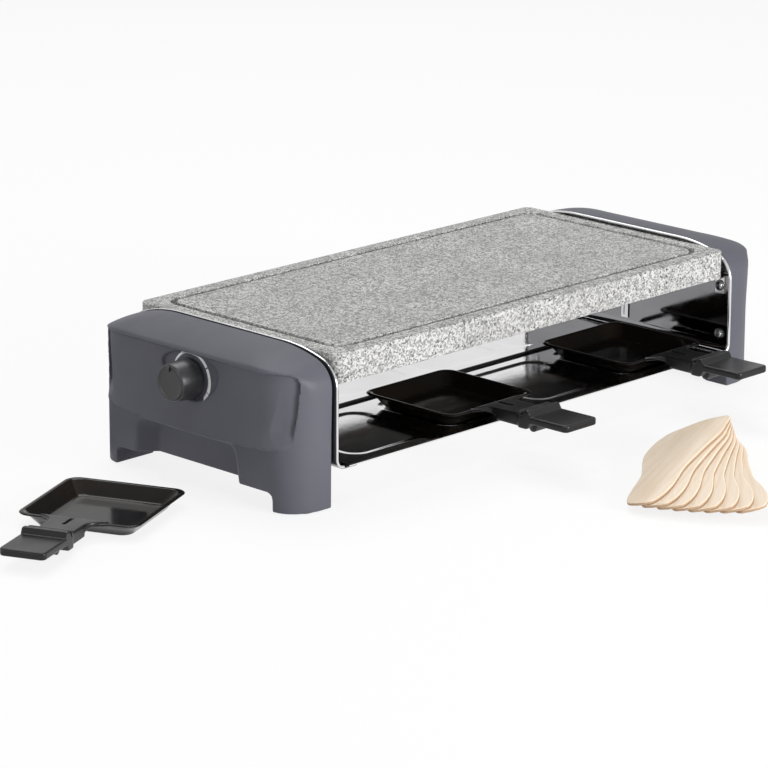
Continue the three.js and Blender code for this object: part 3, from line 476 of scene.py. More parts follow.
class EffectLibrary:
    """Builds each shared group once."""

    def __init__(self) -> None:
        """Starts with no group built."""
        self.groups: dict[Effect, Tree] = {}

    def group(self, effect: Effect) -> Tree:
        """The group of one effect, built the first time it is asked for.

        Args:
            effect: the effect.

        Returns:
            The group's tree.
        """
        if effect not in self.groups:
            makers = {Effect.GRAIN: self._grain, Effect.WEAR: self._wear,
                      Effect.SMEAR: self._smear, Effect.DRIFT: self._drift}
            self.groups[effect] = makers[effect]()
        return self.groups[effect]

    def _blank(self, effect: Effect, output: str, **inputs: float | Colour) -> tuple[Sockets, Node, Node]:
        """Makes a group with named inputs and one output.

        Args:
            effect: the effect that the group is for.
            output: the output's name; "Color" is a colour, any other a number.
            inputs: default of each input, spaces written as underscores; a tuple makes a colour.

        Returns:
            The tree's Sockets helper, its input node and its output node.
        """
        tree = bpy.data.node_groups.new(effect.value, "ShaderNodeTree")
        for label, value in inputs.items():
            kind = "NodeSocketColor" if isinstance(value, tuple) else "NodeSocketFloat"
            socket = tree.interface.new_socket(name=label.replace("_", " "), in_out="INPUT", socket_type=kind)
            socket.default_value = value
        kind = "NodeSocketColor" if output == "Color" else "NodeSocketFloat"
        tree.interface.new_socket(name=output, in_out="OUTPUT", socket_type=kind)
        return Sockets(tree), tree.nodes.new("NodeGroupInput"), tree.nodes.new("NodeGroupOutput")

    def _grain(self) -> Tree:
        """Fine moulding or casting grain as a height.

        Returns:
            The group's tree.
        """
        sockets, given, out = self._blank(Effect.GRAIN, "Height", Scale=1500.0, Coarse_Share=0.3)
        place = sockets.place()
        fine = sockets.noise(place, given.outputs["Scale"], 3.0)
        coarse = sockets.noise(place, sockets.maths("MULTIPLY", given.outputs["Scale"], 0.12), 2.0)
        sockets.feed(out, 0, sockets.between(given.outputs["Coarse Share"], fine, coarse))
        return sockets.tree

    def _wear(self) -> Tree:
        """Mask of convex edges, broken up by noise.

        Returns:
            The group's tree.
        """
        sockets, given, out = self._blank(Effect.WEAR, "Mask", Amount=0.5, Break_Up=60.0)
        point = sockets.add("ShaderNodeNewGeometry").outputs["Pointiness"]
        noise = sockets.noise(sockets.place(), given.outputs["Break Up"], 4.0)
        broken = sockets.maths("MULTIPLY", sockets.span(point, 0.51, 0.6), sockets.span(noise, 0.35, 0.65))
        sockets.feed(out, 0, sockets.maths("MULTIPLY", broken, given.outputs["Amount"]))
        return sockets.tree

    def _smear(self) -> Tree:
        """Soft wiping marks that roughen a glossy surface.

        Returns:
            The group's tree.
        """
        sockets, given, out = self._blank(Effect.SMEAR, "Roughness", Scale=18.0, Clean=0.08, Smeared=0.2)
        place = sockets.stretched(sockets.place(), (1.0, 2.4, 1.4))
        noise = sockets.noise(place, given.outputs["Scale"], 5.0, Distortion=0.8)
        marks = sockets.span(noise, 0.4, 0.72)
        sockets.feed(out, 0, sockets.between(marks, given.outputs["Clean"], given.outputs["Smeared"]))
        return sockets.tree

    def _drift(self) -> Tree:
        """Slow change between two colours.

        Returns:
            The group's tree.
        """
        sockets, given, out = self._blank(
            Effect.DRIFT, "Color", Main=(0.5, 0.5, 0.5, 1.0), Other=(0.4, 0.4, 0.4, 1.0), Scale=12.0)
        noise = sockets.noise(sockets.place(), given.outputs["Scale"], 3.0)
        share = sockets.span(noise, 0.35, 0.65)
        sockets.feed(out, 0, sockets.blend(share, given.outputs["Main"], given.outputs["Other"]))
        return sockets.tree


EFFECTS = EffectLibrary()


class Look(Sockets):
    """The tree of one material, with its Principled shader."""

    def __init__(self, tree: Tree) -> None:
        """Places the shader and the material's output."""
        super().__init__(tree)
        self.shader = self.add("ShaderNodeBsdfPrincipled")
        self.add("ShaderNodeOutputMaterial", Surface=self.shader.outputs[0])

    def shade(self, **values: object) -> None:
        """Sets or links inputs of the shader by name, with spaces written as underscores."""
        self.feed_all(self.shader, **values)

    def effect(self, effect: Effect, **values: object) -> Socket:
        """Places a shared effect.

        Args:
            effect: the effect.
            values: its own values, by input name with spaces written as underscores.

        Returns:
            The effect's output.
        """
        node = self.add("ShaderNodeGroup", node_tree=EFFECTS.group(effect))
        self.feed_all(node, **values)
        return node.outputs[0]

    def bump(self, height: Socket, strength: float, distance: float) -> None:
        """Feeds a height to the shader's normal through a bump."""
        node = self.add("ShaderNodeBump", Strength=strength, Distance=distance, Height=height)
        self.feed(self.shader, "Normal", node.outputs[0])


class Finish:
    """A finish makes one Blender material, once."""

    made: dict[str, Material] = {}
    name: str

    def material(self) -> Material:
        """The finish's material.

        Returns:
            The material, built the first time it is asked for.
        """
        if self.name not in Finish.made:
            material = bpy.data.materials.new(self.name)
            material.use_nodes = True
            material.node_tree.nodes.clear()
            self.dress(Look(material.node_tree))
            Finish.made[self.name] = material
        return Finish.made[self.name]

    def dress(self, look: Look) -> None:
        """Wires the finish into a look."""
        raise NotImplementedError


@dataclass(frozen=True)
class MouldedPlastic(Finish):
    """Satin moulded plastic with a fine grain and faintly polished edges."""

    name: str
    main: Colour
    other: Colour
    roughness: float = 0.42
    smear: float = 0.08
    grain: float = 0.12
    edge: Colour = (0.12, 0.12, 0.13, 1.0)
    gloss: float = 0.5

    def dress(self, look: Look) -> None:
        """Wires colour drift, edge polish and grain.

        Args:
            look: the material's look.
        """
        colour = look.effect(Effect.DRIFT, Main=self.main, Other=self.other, Scale=9.0)
        wear = look.effect(Effect.WEAR, Amount=0.35, Break_Up=40.0)
        smear = look.effect(Effect.SMEAR, Scale=14.0, Clean=self.roughness,
                            Smeared=self.roughness + self.smear)
        look.shade(Base_Color=look.blend(wear, colour, self.edge), Roughness=smear,
                   Specular_IOR_Level=self.gloss)
        grain = look.effect(Effect.GRAIN, Scale=1900.0, Coarse_Share=0.25)
        look.bump(grain, strength=self.grain, distance=0.0003)


@dataclass(frozen=True)
class SheetSteel(Finish):
    """Bright sheet steel, from mirror to softly brushed."""

    name: str
    main: Colour = (0.82, 0.82, 0.83, 1.0)
    clean: float = 0.08
    smeared: float = 0.18
    brushed: float = 0.04
    darker_share: float = 0.9
    along: Place = (1.0, 40.0, 40.0)

    def dress(self, look: Look) -> None:
        """Wires smears and rolling lines.

        Args:
            look: the material's look.
        """
        darker = tuple(channel * self.darker_share for channel in self.main[:3]) + (1.0,)
        colour = look.effect(Effect.DRIFT, Main=self.main, Other=darker, Scale=16.0)
        smear = look.effect(Effect.SMEAR, Scale=22.0, Clean=self.clean, Smeared=self.smeared)
        look.shade(Base_Color=colour, Roughness=smear, Metallic=1.0)
        lines = look.noise(look.stretched(look.place(), self.along), scale=60.0, detail=3.0)
        look.bump(lines, strength=self.brushed, distance=0.0004)


@dataclass(frozen=True)
class Granite(Finish):
    """Speckled grey granite: polished above, sawn and pale at the sides, with painted shade near black
    underneath. Heights are in metres.
    """

    name: str = "granite"
    polished_light: Colour = (0.60, 0.60, 0.575, 1.0)
    polished_mid: Colour = (0.135, 0.135, 0.128, 1.0)
    sawn_light: Colour = (0.62, 0.62, 0.61, 1.0)
    sawn_mid: Colour = (0.29, 0.29, 0.285, 1.0)
    dark: Colour = (0.05, 0.05, 0.05, 1.0)
    # painted shade: near black where the stone looks down, standing in for its unlit underside
    painted_underside_shade: Colour = (0.035, 0.033, 0.031, 1.0)
    polish_height: Span = (0.1117, 0.1127)
    groove_height: Span = (0.1092, 0.1098)
    groove_share: float = 0.72
    upward_facing: Span = (0.25, 0.6)
    shaded_underside_facing: Span = (-0.5, -0.9)
    light_crystals: Span = (0.3, 0.62)
    dark_crystals: Span = (0.7, 0.78)
    patch_shift: float = 0.28
    cloud_share: float = 0.35
    sawn_roughness: float = 0.85
    polished_roughness: Span = (0.2, 0.34)
    polished_relief: float = 0.06

    def dress(self, look: Look) -> None:
        """Wires the crystals, the speckle, the dark groove, the sawn sides and the painted shade underneath.

        Args:
            look: the material's look.
        """
        place = look.place()
        crystals = look.add("ShaderNodeTexVoronoi", Vector=place, Scale=860.0, Randomness=1.0)
        shade = look.add("ShaderNodeSeparateColor", Color=crystals.outputs["Color"])
        fine = look.noise(place, scale=430.0, detail=6.0, Roughness=0.7)
        cloud = look.noise(place, scale=26.0, detail=3.0)
        patch = look.noise(place, scale=210.0, detail=4.0, Roughness=0.6)
        lift = look.facing()
        height = look.height(place)
        level = look.span(height, *self.polish_height)
        open_above = look.span(lift, *self.upward_facing)
        polished = look.maths("MULTIPLY", open_above, level)
        light = look.blend(polished, self.sawn_light, self.polished_light)
        mid = look.blend(polished, self.sawn_mid, self.polished_mid)
        patched = look.span(patch, 0.3, 0.7, -self.patch_shift, self.patch_shift)
        shown = look.span(look.maths("ADD", shade.outputs[0], patched), *self.light_crystals)
        clouded = look.blend(look.span(cloud, 0.35, 0.7, 0, self.cloud_share),
                             look.blend(shown, mid, light), mid)
        specks = look.maths("MULTIPLY", look.span(shade.outputs[1], *self.dark_crystals),
                            look.span(fine, 0.42, 0.56))
        speckled = look.blend(specks, clouded, self.dark)
        in_groove = look.maths("MULTIPLY", open_above, look.span(height, *self.groove_height))
        groove = look.maths("MULTIPLY", in_groove, look.span(level, 1, 0, 0, self.groove_share))
        grooved = look.blend(groove, speckled, self.dark)
        # painted shade: faces that look down blend to near black
        under = look.span(lift, *self.shaded_underside_facing)
        gloss = look.span(fine, 0.3, 0.7, *self.polished_roughness)
        look.shade(Base_Color=look.blend(under, grooved, self.painted_underside_shade),
                   Roughness=look.between(polished, self.sawn_roughness, gloss))
        depth = look.span(polished, 0, 1, 1.0, self.polished_relief)
        relief = look.maths("MULTIPLY", look.maths("ADD", shade.outputs[0], fine), depth)
        look.bump(relief, strength=0.6, distance=0.0006)


@dataclass(frozen=True)
class PanCoating(Finish):
    """Glossy black non-stick coating."""

    name: str = "pan_coating"
    main: Colour = (0.007, 0.0065, 0.006, 1.0)
    warm: Colour = (0.012, 0.009, 0.007, 1.0)
    gloss: float = 0.2

    def dress(self, look: Look) -> None:
        """Wires the drift, the smears and a faint orange peel.

        Args:
            look: the material's look.
        """
        colour = look.effect(Effect.DRIFT, Main=self.main, Other=self.warm, Scale=20.0)
        smear = look.effect(Effect.SMEAR, Scale=30.0, Clean=0.08, Smeared=0.15)
        look.shade(Base_Color=colour, Roughness=smear, Specular_IOR_Level=self.gloss)
        peel = look.effect(Effect.GRAIN, Scale=900.0, Coarse_Share=0.6)
        look.bump(peel, strength=0.08, distance=0.0004)


@dataclass(frozen=True)
class PaleWood(Finish):
    """Raw pale wood with its grain along the piece's own X, and painted shade darkening the sides that don't
    look up.
    """

    name: str = "spatula_wood"
    light: Colour = (0.88, 0.76, 0.62, 1.0)
    dark: Colour = (0.80, 0.65, 0.49, 1.0)
    # painted shade: dark brown on the sides, standing in for the shadow lines between the blades
    edge: Colour = (0.42, 0.28, 0.17, 1.0)
    painted_shade_facing: Span = (0.75, 0.35)
    band_stretch: Place = (1.0, 14.0, 14.0)
    pore_stretch: Place = (1.0, 60.0, 60.0)
    pore_share: float = 0.35

    def dress(self, look: Look) -> None:
        """Wires the grain lines, the pores and the painted shade on the sides.

        Args:
            look: the material's look.
        """
        place = look.add("ShaderNodeAttribute", attribute_name=OWN_PLACE).outputs["Vector"]
        along = look.stretched(place, self.band_stretch)
        bands = look.noise(along, scale=11.0, detail=5.0, Distortion=0.6)
        pores = look.noise(look.stretched(place, self.pore_stretch), scale=34.0, detail=4.0)
        base = look.blend(look.span(bands, 0.36, 0.68), self.light, self.dark)
        grained = look.blend(look.span(pores, 0.55, 0.75, 0, self.pore_share), base, self.dark)
        # painted shade: surfaces that look less upward blend towards the dark brown
        edge = look.span(look.facing(), *self.painted_shade_facing)
        look.shade(Base_Color=look.blend(edge, grained, self.edge),
                   Roughness=look.span(bands, 0.3, 0.7, 0.62, 0.75))
        look.bump(pores, strength=0.25, distance=0.0003)


@dataclass(frozen=True)
class PlainMatt(Finish):
    """Rubber, ceramic, print or oxidised metal, matt and lightly grained."""

    name: str
    main: Colour
    other: Colour
    roughness: float = 0.8
    metallic: float = 0.0

    def dress(self, look: Look) -> None:
        """Wires the drift and the grain.

        Args:
            look: the material's look.
        """
        colour = look.effect(Effect.DRIFT, Main=self.main, Other=self.other, Scale=45.0)
        look.shade(Base_Color=colour, Roughness=self.roughness, Metallic=self.metallic)
        grain = look.effect(Effect.GRAIN, Scale=1300.0, Coarse_Share=0.5)
        look.bump(grain, strength=0.25, distance=0.0004)


HOUSING_PLASTIC = MouldedPlastic(
    "housing_plastic", main=(0.100, 0.101, 0.122, 1.0), other=(0.086, 0.087, 0.106, 1.0),
    roughness=0.48, grain=0.1, gloss=0.24)
KNOB_PLASTIC = MouldedPlastic(
    "knob_plastic", main=(0.020, 0.020, 0.023, 1.0), other=(0.015, 0.015, 0.017, 1.0),
    roughness=0.34, grain=0.08)
HANDLE_PLASTIC = MouldedPlastic(
    "handle_plastic", main=(0.008, 0.008, 0.009, 1.0), other=(0.006, 0.006, 0.0065, 1.0),
    roughness=0.28, edge=(0.06, 0.06, 0.065, 1.0), gloss=0.32)
LINER_STEEL = SheetSteel("bright_steel", clean=0.09, smeared=0.17)
# polished liner steel whose colour is darkened to about a third of the rim's: painted dark reflection on the
# liner sheets
LINER_STEEL_PAINTED_DARK = SheetSteel("liner_steel_painted_dark", (0.30, 0.30, 0.31, 1.0), clean=0.05, smeared=0.11, brushed=0.02)
TRAY_STEEL = SheetSteel("mirror_steel", (0.86, 0.86, 0.87, 1.0), clean=0.04, smeared=0.1, brushed=0.03)
SCREW_STEEL = SheetSteel("screw_steel", (0.36, 0.36, 0.37, 1.0), clean=0.16, smeared=0.26, brushed=0.1)
SCALE_PRINT = PlainMatt("scale_print", (0.86, 0.87, 0.88, 1.0), (0.78, 0.79, 0.80, 1.0), roughness=0.35)
GRANITE = Granite()
PAN_COATING = PanCoating()
WOOD = PaleWood()
RUBBER = PlainMatt("rubber", (0.02, 0.02, 0.02, 1.0), (0.03, 0.03, 0.03, 1.0))
CERAMIC = PlainMatt("ceramic", (0.72, 0.68, 0.58, 1.0), (0.64, 0.59, 0.5, 1.0), roughness=0.6)
ELEMENT_METAL = PlainMatt(
    "element_metal", (0.10, 0.095, 0.09, 1.0), (0.16, 0.12, 0.10, 1.0), roughness=0.45, metallic=0.8)


# Pieces

class Workshop:
    """Turns shapes into pieces that ride on the frame."""

    def __init__(self, frame: dict) -> None:
        """Finds the grill's middle from its stone plate.
        """
        self.frame = frame
        low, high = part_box("stone_plate")
        self.middle = Vector(((low.x + high.x) / 2, (low.y + high.y) / 2, 0))

    def piece(self, name: str, shape: Shape, finish: Finish, body: str, slot: str,
              nodes: Sequence[str] = (), place: Matrix | None = None, crisp: float = 32.0) -> None:
        """Makes one piece.

        Args:
            name: the piece's name.
            shape: its shape, in millimetres from the grill's middle or from its own origin.
            finish: its finish.
            body: the body that it rides on.
            slot: the record's material slot; not used.
            nodes: CAD nodes that it stands for.
            place: where the piece's own origin lies, in millimetres from the grill's middle. The
                mesh is moved there and keeps the points of its own frame as an attribute, which
                its grain follows.
            crisp: angle in degrees above which an edge shows sharp.
        """
        mesh = bpy.data.meshes.new(name)
        placed = shape if place is None else shape.placed(place)
        points = placed.points * MILLIMETRE + np.array(self.middle)
        mesh.from_pydata(points.tolist(), [], [list(map(int, face)) for face in shape.faces])
        mesh.update()
        mesh.validate()
        mesh.shade_smooth()
        mesh.set_sharp_from_angle(angle=math.radians(crisp))
        mesh.materials.append(finish.material())
        if place is not None:
            own_place = mesh.attributes.new(OWN_PLACE, "FLOAT_VECTOR", "POINT")
            own_place.data.foreach_set("vector", (shape.points * MILLIMETRE).ravel())
        made = bpy.data.objects.new(name, mesh)
        bpy.context.scene.collection.objects.link(made)
        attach(made, body)
        if nodes:
            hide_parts(*nodes)
        log.info("%s: %d points on %s", name, len(shape.points), body)

    def dress(self, finish: Finish, *nodes: str) -> None:
        """Gives CAD nodes that stay in view a finish.

        Args:
            finish: the finish.
            nodes: the nodes' names.
        """
        for name in nodes:
            mesh = self.frame["nodes"][name].data
            mesh.materials.clear()
            mesh.materials.append(finish.material())
            log.info("%s: CAD solid kept, %s", name, finish.name)


HALF_TURN = Matrix.Rotation(math.pi, 4, "Z")


class EndName(Enum):
    """The two ends of the grill."""

    LEFT = "left"
    RIGHT = "right"

    def turn(self) -> Matrix:
        """From the end's own frame, whose +X points out of the grill, to the grill's."""
        return HALF_TURN if self is EndName.LEFT else Matrix.Identity(4)


@dataclass
class EndArch:
    """Rounded top outline that liners and housings share."""

    shoulder_radius: float = 127.0
    shoulder_angle: float = math.pi / 10
    corner_radius: float = 22.0

    def _joints(self, half: float, top: Points | float) -> tuple[float, Points | float]:
        """Finds where the outline's arcs start.

        Args:
            half: half the outline's width.
            top: height of its flat top.

        Returns:
            Where a shoulder starts across the grill, and the height of the corner arc's middle.
        """
        sine, cosine = math.sin(self.shoulder_angle), math.cos(self.shoulder_angle)
        start = half - self.corner_radius * (1 - sine) - self.shoulder_radius * sine
        return start, top - self.shoulder_radius * (1 - cosine) - self.corner_radius * cosine

    def distance(self, across: Points, height: Points, half: float, top: Points | float) -> Points:
        """Signed distance to the outline.

        Args:
            across: place across the grill.
            height: height over the table.
            half: half the outline's width.
            top: height of its flat top.

        Returns:
            Negative inside.
        """
        side = np.abs(across)
        start, corner_z = self._joints(half, top)
        shoulder_z = top - self.shoulder_radius
        angle = np.arctan2(side - start, height - shoulder_z)
        shoulder = np.hypot(side - start, height - shoulder_z) - self.shoulder_radius
        corner = np.hypot(side - half + self.corner_radius, height - corner_z) - self.corner_radius
        upper = np.where(angle <= 0, height - top, shoulder)
        rounded = np.where((angle > self.shoulder_angle) & (height > corner_z), corner, upper)
        return np.where(height <= corner_z, side - half, rounded)

    def outline(self, half: float, top: float, base: float, steps: int = 14) -> Points:
        """Points of the outline from one foot over the top to the other.

        Args:
            half: half the outline's width.
            top: height of its flat top.
            base: height of its feet.
            steps: facets in each arc.

        Returns:
            One (y, z) row for each point.
        """
        start, corner_z = self._joints(half, top)
        joint = QUARTER_TURN - self.shoulder_angle
        small, large = self.corner_radius, self.shoulder_radius
        corner = arc((half - small, corner_z), small, (0, joint), steps)
        shoulder = arc((start, top - large), large, (joint, QUARTER_TURN), steps)
        right = np.vstack(((half, base), corner, shoulder[1:]))
        return np.vstack((right, right[::-1] * np.array((-1, 1))))


@dataclass
class EndHousing:
    """Moulded end housing with crown, raised end panel, recess and two legs."""

    workshop: Workshop
    arch: EndArch = field(default_factory=EndArch)
    start: float = 222.2
    end: float = 264.2
    half: float = 107.0
    top: float = 115.2
    crown_fall: float = 8.6
    crown_power: float = 2.6
    crown_length: float = 42.0
    crown_overhang: float = 0.3
    shoulder_lift: float = 0.36
    shoulder_span: Span = (48.0, 88.0)
    end_draft: float = 4.6
    side_draft: float = 1.0
    corner_length: float = 36.0
    corner_depth: Span = (28.0, 36.0)
    corner_power: Span = (2.6, 2.0)
    corner_core: float = 0.02
    core_depth: float = 30.0
    panel_raise: float = 1.5
    panel_side: float = 0.9
    panel_reach: float = 96.0
    panel_bottom: float = 43.4
    panel_bottom_rise: Span = (1.5, 3.5)
    panel_top: float = 103.8
    panel_half: Span = (97.4, 101.8)
    panel_widening: Span = (59.0, 119.0)
    panel_corner: float = 9.0
    sink: float = 3.0
    sink_height: Span = (46.0, 104.0)
    sink_side: Span = (72.0, 92.0)
    sink_low: Span = (46.0, 66.0)
    frame_height: Span = (54.0, 98.0)
    step_width: Span = (-1.2, 0.8)
    foot_height: float = 14.5
    foot_gap: float = 83.0
    foot_corner: float = 6.0
    foot_edge: float = 0.9
    sole: float = 0.8
    recess_shift: float = -6.0
    recess_half: Span = (43.5, 40.0)
    recess_top: float = 38.0
    recess_depth: float = 12.0
    recess_overrun: float = 3.0
    recess_flare: float = 0.95
    recess_roof_share: float = 3.0
    recess_corner: float = 8.0
    recess_floor_round: float = 2.0
    recess_edge: float = 1.6
    crown_edge: float = 2.4
    inner_edge: float = 1.6
    grid: float = 1.1
    margin_low: Place = (2.0, 3.0, 1.0)
    margin_high: Place = (4.0, 3.0, 2.0)

    def _plan(self, x: Points, y: Points, end: Points | float, half: Points | float,
              share: Points | float) -> Points:
        """Signed distance to a plan outline with superelliptic corners.

        Args:
            x: place along the grill.
            y: place across the grill.
            end: where the outline ends along the grill.
            half: half its width.
            share: share of the height, which opens the corners.

        Returns:
            Negative inside.
        """
        blend = np.minimum(share, 1)
        depth = mixed(*self.corner_depth, blend)
        power = mixed(*self.corner_power, blend)
        along = (x - end + self.corner_length) / self.corner_length
        across = (np.abs(y) - half + depth) / depth
        ahead, aside = np.maximum(along, 0), np.maximum(across, 0)
        ratio = (ahead ** power + aside ** power) ** (1 / power)
        reach = np.hypot(ahead * self.corner_length, aside * depth) / np.maximum(ratio, TINY)
        core = np.maximum(along * self.corner_length, across * depth) - self.core_depth
        return np.where(ratio > self.corner_core, (ratio - 1) * reach, core)

    def _panel_outline(self, y: Points, z: Points) -> Points:
        """Signed distance across the end to the raised panel's bottom and sides.

        Args:
            y: place across the grill.
            z: height.

        Returns:
            Negative inside.
        """
        side = np.abs(y) / self.panel_reach
        bottom = self.panel_bottom + self.panel_bottom_rise[0] * side + self.panel_bottom_rise[1] * side ** 2
        width = mixed(*self.panel_half, 1 - (1 - share_of(z, self.panel_widening)) ** 2)
        return soft_max(bottom - z, np.abs(y) - width, self.panel_corner)

    def _recess(self, x: Points, y: Points, z: Points) -> Points:
        """Signed distance to the flared recess between the legs.

        Args:
            x: place along the grill.
            y: place across the grill.
            z: height.

        Returns:
            Negative inside the recess.
        """
        wall = self.end - self.end_draft - self.recess_depth
        flare = np.clip(x - wall, 0, self.recess_depth + self.recess_overrun) * self.recess_flare
        width = mixed(*self.recess_half, share_of(z, (self.foot_height, self.recess_top)))
        sides = np.abs(y - self.recess_shift) - width - flare
        roof = z - self.recess_top - flare / self.recess_roof_share
        return soft_max(soft_max(sides, roof, self.recess_corner), wall - x, self.recess_floor_round)

    def _panelled(self, x: Points, y: Points, z: Points) -> Points:
        """Signed field of the drafted walls with the raised panel and the frame round it.

        Args:
            x: place along the grill.
            y: place across the grill.
            z: height.

        Returns:
            Negative inside.
        """
        share = z / self.top
        walls = self._plan(x, y, self.end - self.end_draft * (1 - share),
                           self.half - self.side_draft * (1 - share), share)
        face = self._plan(x, y, self.end + self.panel_raise, self.half + self.panel_side, 1.0)
        around = mixed(walls, face, eased(z, self.frame_height))
        under_crown = 1 - share_of(-z, (-self.sink_height[1], -self.sink_height[0])) ** 2
        at_sides = eased(np.abs(y), self.sink_side) * eased(z, self.sink_low)
        inside = mixed(face, around + self.sink, np.maximum(under_crown, at_sides))
        edge = soft_max(self._panel_outline(y, z), z - self.panel_top, self.panel_corner)
        return mixed(inside, around, eased(edge, self.step_width))

    def surface(self, x: Points, y: Points, z: Points) -> Points:
        """Signed field of the housing in its end's own frame.

        Args:
            x: place along the grill.
            y: place across the grill.
            z: height.

        Returns:
            Negative inside.
        """
        fall = self.crown_fall * (np.maximum(x - self.start, 0) / self.crown_length) ** self.crown_power
        fall = fall * (1 - self.shoulder_lift * eased(np.abs(y), self.shoulder_span))
        crown = self.arch.distance(y, z, self.half + self.crown_overhang, self.top - fall)
        body = soft_max(self._panelled(x, y, z), crown, self.crown_edge)
        body = soft_max(body, self.start - x, self.inner_edge)
        gap = soft_max(np.abs(y) - self.foot_gap, z - self.foot_height, self.foot_corner)
        body = soft_max(body, -gap, self.foot_edge)
        body = soft_max(body, -self._recess(x, y, z), self.recess_edge)
        return soft_max(body, self.sole - z, self.sole)

    def build(self, end_name: EndName) -> None:
        """Builds one end's housing.

        Args:
            end_name: the end.
        """
        low = np.array((self.start, -self.half, 0)) - self.margin_low
        high = np.array((self.end, self.half, self.top)) + self.margin_high
        shape = field_skin(self.surface, low, high, self.grid).placed(end_name.turn())
        name = f"housing_{end_name.value}"
        self.workshop.piece(f"{name}_shell", shape, HOUSING_PLASTIC, "grill", "housing_plastic", (name,),
                            crisp=50)


@dataclass
class ControlHousing(EndHousing):
    """The housing of the knob's end, with its dial dish and printed scale."""

    dish_centre: Span = (1.0, 92.0)
    dish_half: Span = (31.5, 26.5)
    dish_rise: float = 12.6
    dish_power: float = 1.9
    dish_depth: float = 5.8
    dish_slope: float = 0.55
    dish_floor_round: float = 1.8
    dish_edge: float = 0.9
    scale_radius: float = 19.1
    scale_angles: Span = (-62.0, 133.0)
    scale_widths: Span = (1.5, 3.2)
    scale_ticks: tuple[float, ...] = (-8.0, 58.0, 116.0)
    scale_search: Span = (-8.0, 4.0)
    scale_rounds: int = 24
    scale_steps: int = 130
    tick_angle: float = 1.2
    print_lift: float = 0.12

    def surface(self, x: Points, y: Points, z: Points) -> Points:
        """Signed field of the housing with its dial dish.

        Args:
            x: place along the grill.
            y: place across the grill.
            z: height.

        Returns:
            Negative inside.
        """
        from_middle = y - self.dish_centre[0], z - self.dish_centre[1]
        across = np.abs(from_middle[0] / self.dish_half[0])
        up = np.abs(from_middle[1] / np.where(from_middle[1] > 0, self.dish_rise, self.dish_half[1]))
        power = self.dish_power
        ratio = np.maximum((across ** power + up ** power) ** (1 / power), TINY)
        face = self.end + self.panel_raise
        wall = (ratio - 1) * np.hypot(*from_middle) / ratio - (x - face) * self.dish_slope
        dish = soft_max(wall, face - self.dish_depth - x, self.dish_floor_round)
        return soft_max(super().surface(x, y, z), -dish, self.dish_edge)

    def _scale_angle(self, step: float) -> float:
        """Angle in degrees of a step along the scale."""
        return mixed(*self.scale_angles, step / self.scale_steps)

    def build_scale(self) -> None:
        """Lays the printed wedge scale on the dish floor."""
        rows = []
        for step in range(self.scale_steps + 1):
            angle = math.radians(self._scale_angle(step))
            width = mixed(*self.scale_widths, step / self.scale_steps)
            for radius in (self.scale_radius - width / 2, self.scale_radius + width / 2):
                rows.append((radius * math.sin(angle), DIAL_HEIGHT + radius * math.cos(angle)))
        flat = np.array(rows)
        low, high = (np.full(len(flat), self.end + offset) for offset in self.scale_search)
        for _ in range(self.scale_rounds):
            middle = (low + high) / 2
            outside = self.surface(middle, flat[:, 0], flat[:, 1]) > 0
            high = np.where(outside, middle, high)
            low = np.where(outside, low, middle)
        points = np.column_stack((high + self.print_lift, flat))
        faces = []
        for step in range(self.scale_steps):
            angle = self._scale_angle(step + 0.5)
            if all(abs(angle - tick) > self.tick_angle for tick in self.scale_ticks):
                faces.append((2 * step, 2 * step + 2, 2 * step + 3, 2 * step + 1))
        shape = Shape(points, faces).placed(HALF_TURN)
        self.workshop.piece("dial_scale", shape, SCALE_PRINT, "grill", "bright_steel")


@dataclass
class EndLiner:
    """Bright sheet liner with a rolled rim and an inward flange."""

    workshop: Workshop
    arch: EndArch = field(default_factory=EndArch)
    face: float = LINER_FACE
    sheet: float = 0.8
    half: float = 109.5
    top: float = 115.7
    inset: float = 0.5
    bend: float = 8.0
    bend_steps: int = 10
    flange_top: float = 29.5
    flange_reach: float = 20.0
    flange_flat: float = 13.0
    rim: float = 1.25
    rim_sides: int = 16

    def _bend_path(self) -> Points:
        """Traces the sheet's middle from the flange's edge up to where the plate starts.

        Returns:
            One (x, z) row for each point, two of them on the flat flange.
        """
        middle = self.bend - self.sheet / 2
        centre = (self.face + self.sheet - self.bend, self.flange_top - self.sheet + self.bend)
        flat = [(self.face - reach, centre[1] - middle) for reach in (self.flange_reach, self.flange_flat)]
        return np.vstack((flat, arc(centre, middle, (-QUARTER_TURN, 0), self.bend_steps)))

    def build(self, end_name: EndName) -> None:
        """Builds one end's liner and its rolled rim.

        Args:
            end_name: the end.
        """
        path = self._bend_path()
        slope = np.gradient(path, axis=0)
        normal = unit_rows(np.column_stack((slope[:, 1], -slope[:, 0])))
        outline = self.arch.outline(self.half - self.inset, self.top - self.inset, path[-1, 1])
        plate = skinned([at_x(outline, self.face), at_x(outline, self.face + self.sheet)])
        section = np.vstack((path + normal * self.sheet / 2, (path - normal * self.sheet / 2)[::-1]))
        ends = (self.half - self.inset, self.inset - self.half)
        bend = skinned([self._across(section, end) for end in ends])
        over = at_x(self.arch.outline(self.half - self.rim, self.top - self.rim, path[-1, 1]),
                    self.face + self.sheet - self.rim)
        inner = (path - normal * (self.rim - self.sheet / 2))[2:]
        up = self._across(inner, self.half - self.rim)[:-1]
        down = self._across(inner, self.rim - self.half)[-2::-1]
        rim = tube(np.vstack((up, over, down)), self.rim, self.rim_sides, (1.0, 0.0, 0.0))
        name = f"liner_{end_name.value}"
        sheet = plate.joined(bend).placed(end_name.turn())
        # the sheet wears the darkened steel, a painted dark reflection; the rim keeps the bright steel
        self.workshop.piece(f"{name}_sheet", sheet, LINER_STEEL_PAINTED_DARK, "grill", "bright_steel", (name,), crisp=40)
        self.workshop.piece(f"{name}_rim", rim.placed(end_name.turn()), LINER_STEEL, "grill", "bright_steel")

    def _across(self, rows: Points, y: float) -> Points:
        """Rows (x, z) as points at one place across the grill."""
        return np.column_stack((rows[:, 0], np.full(len(rows), y), rows[:, 1]))


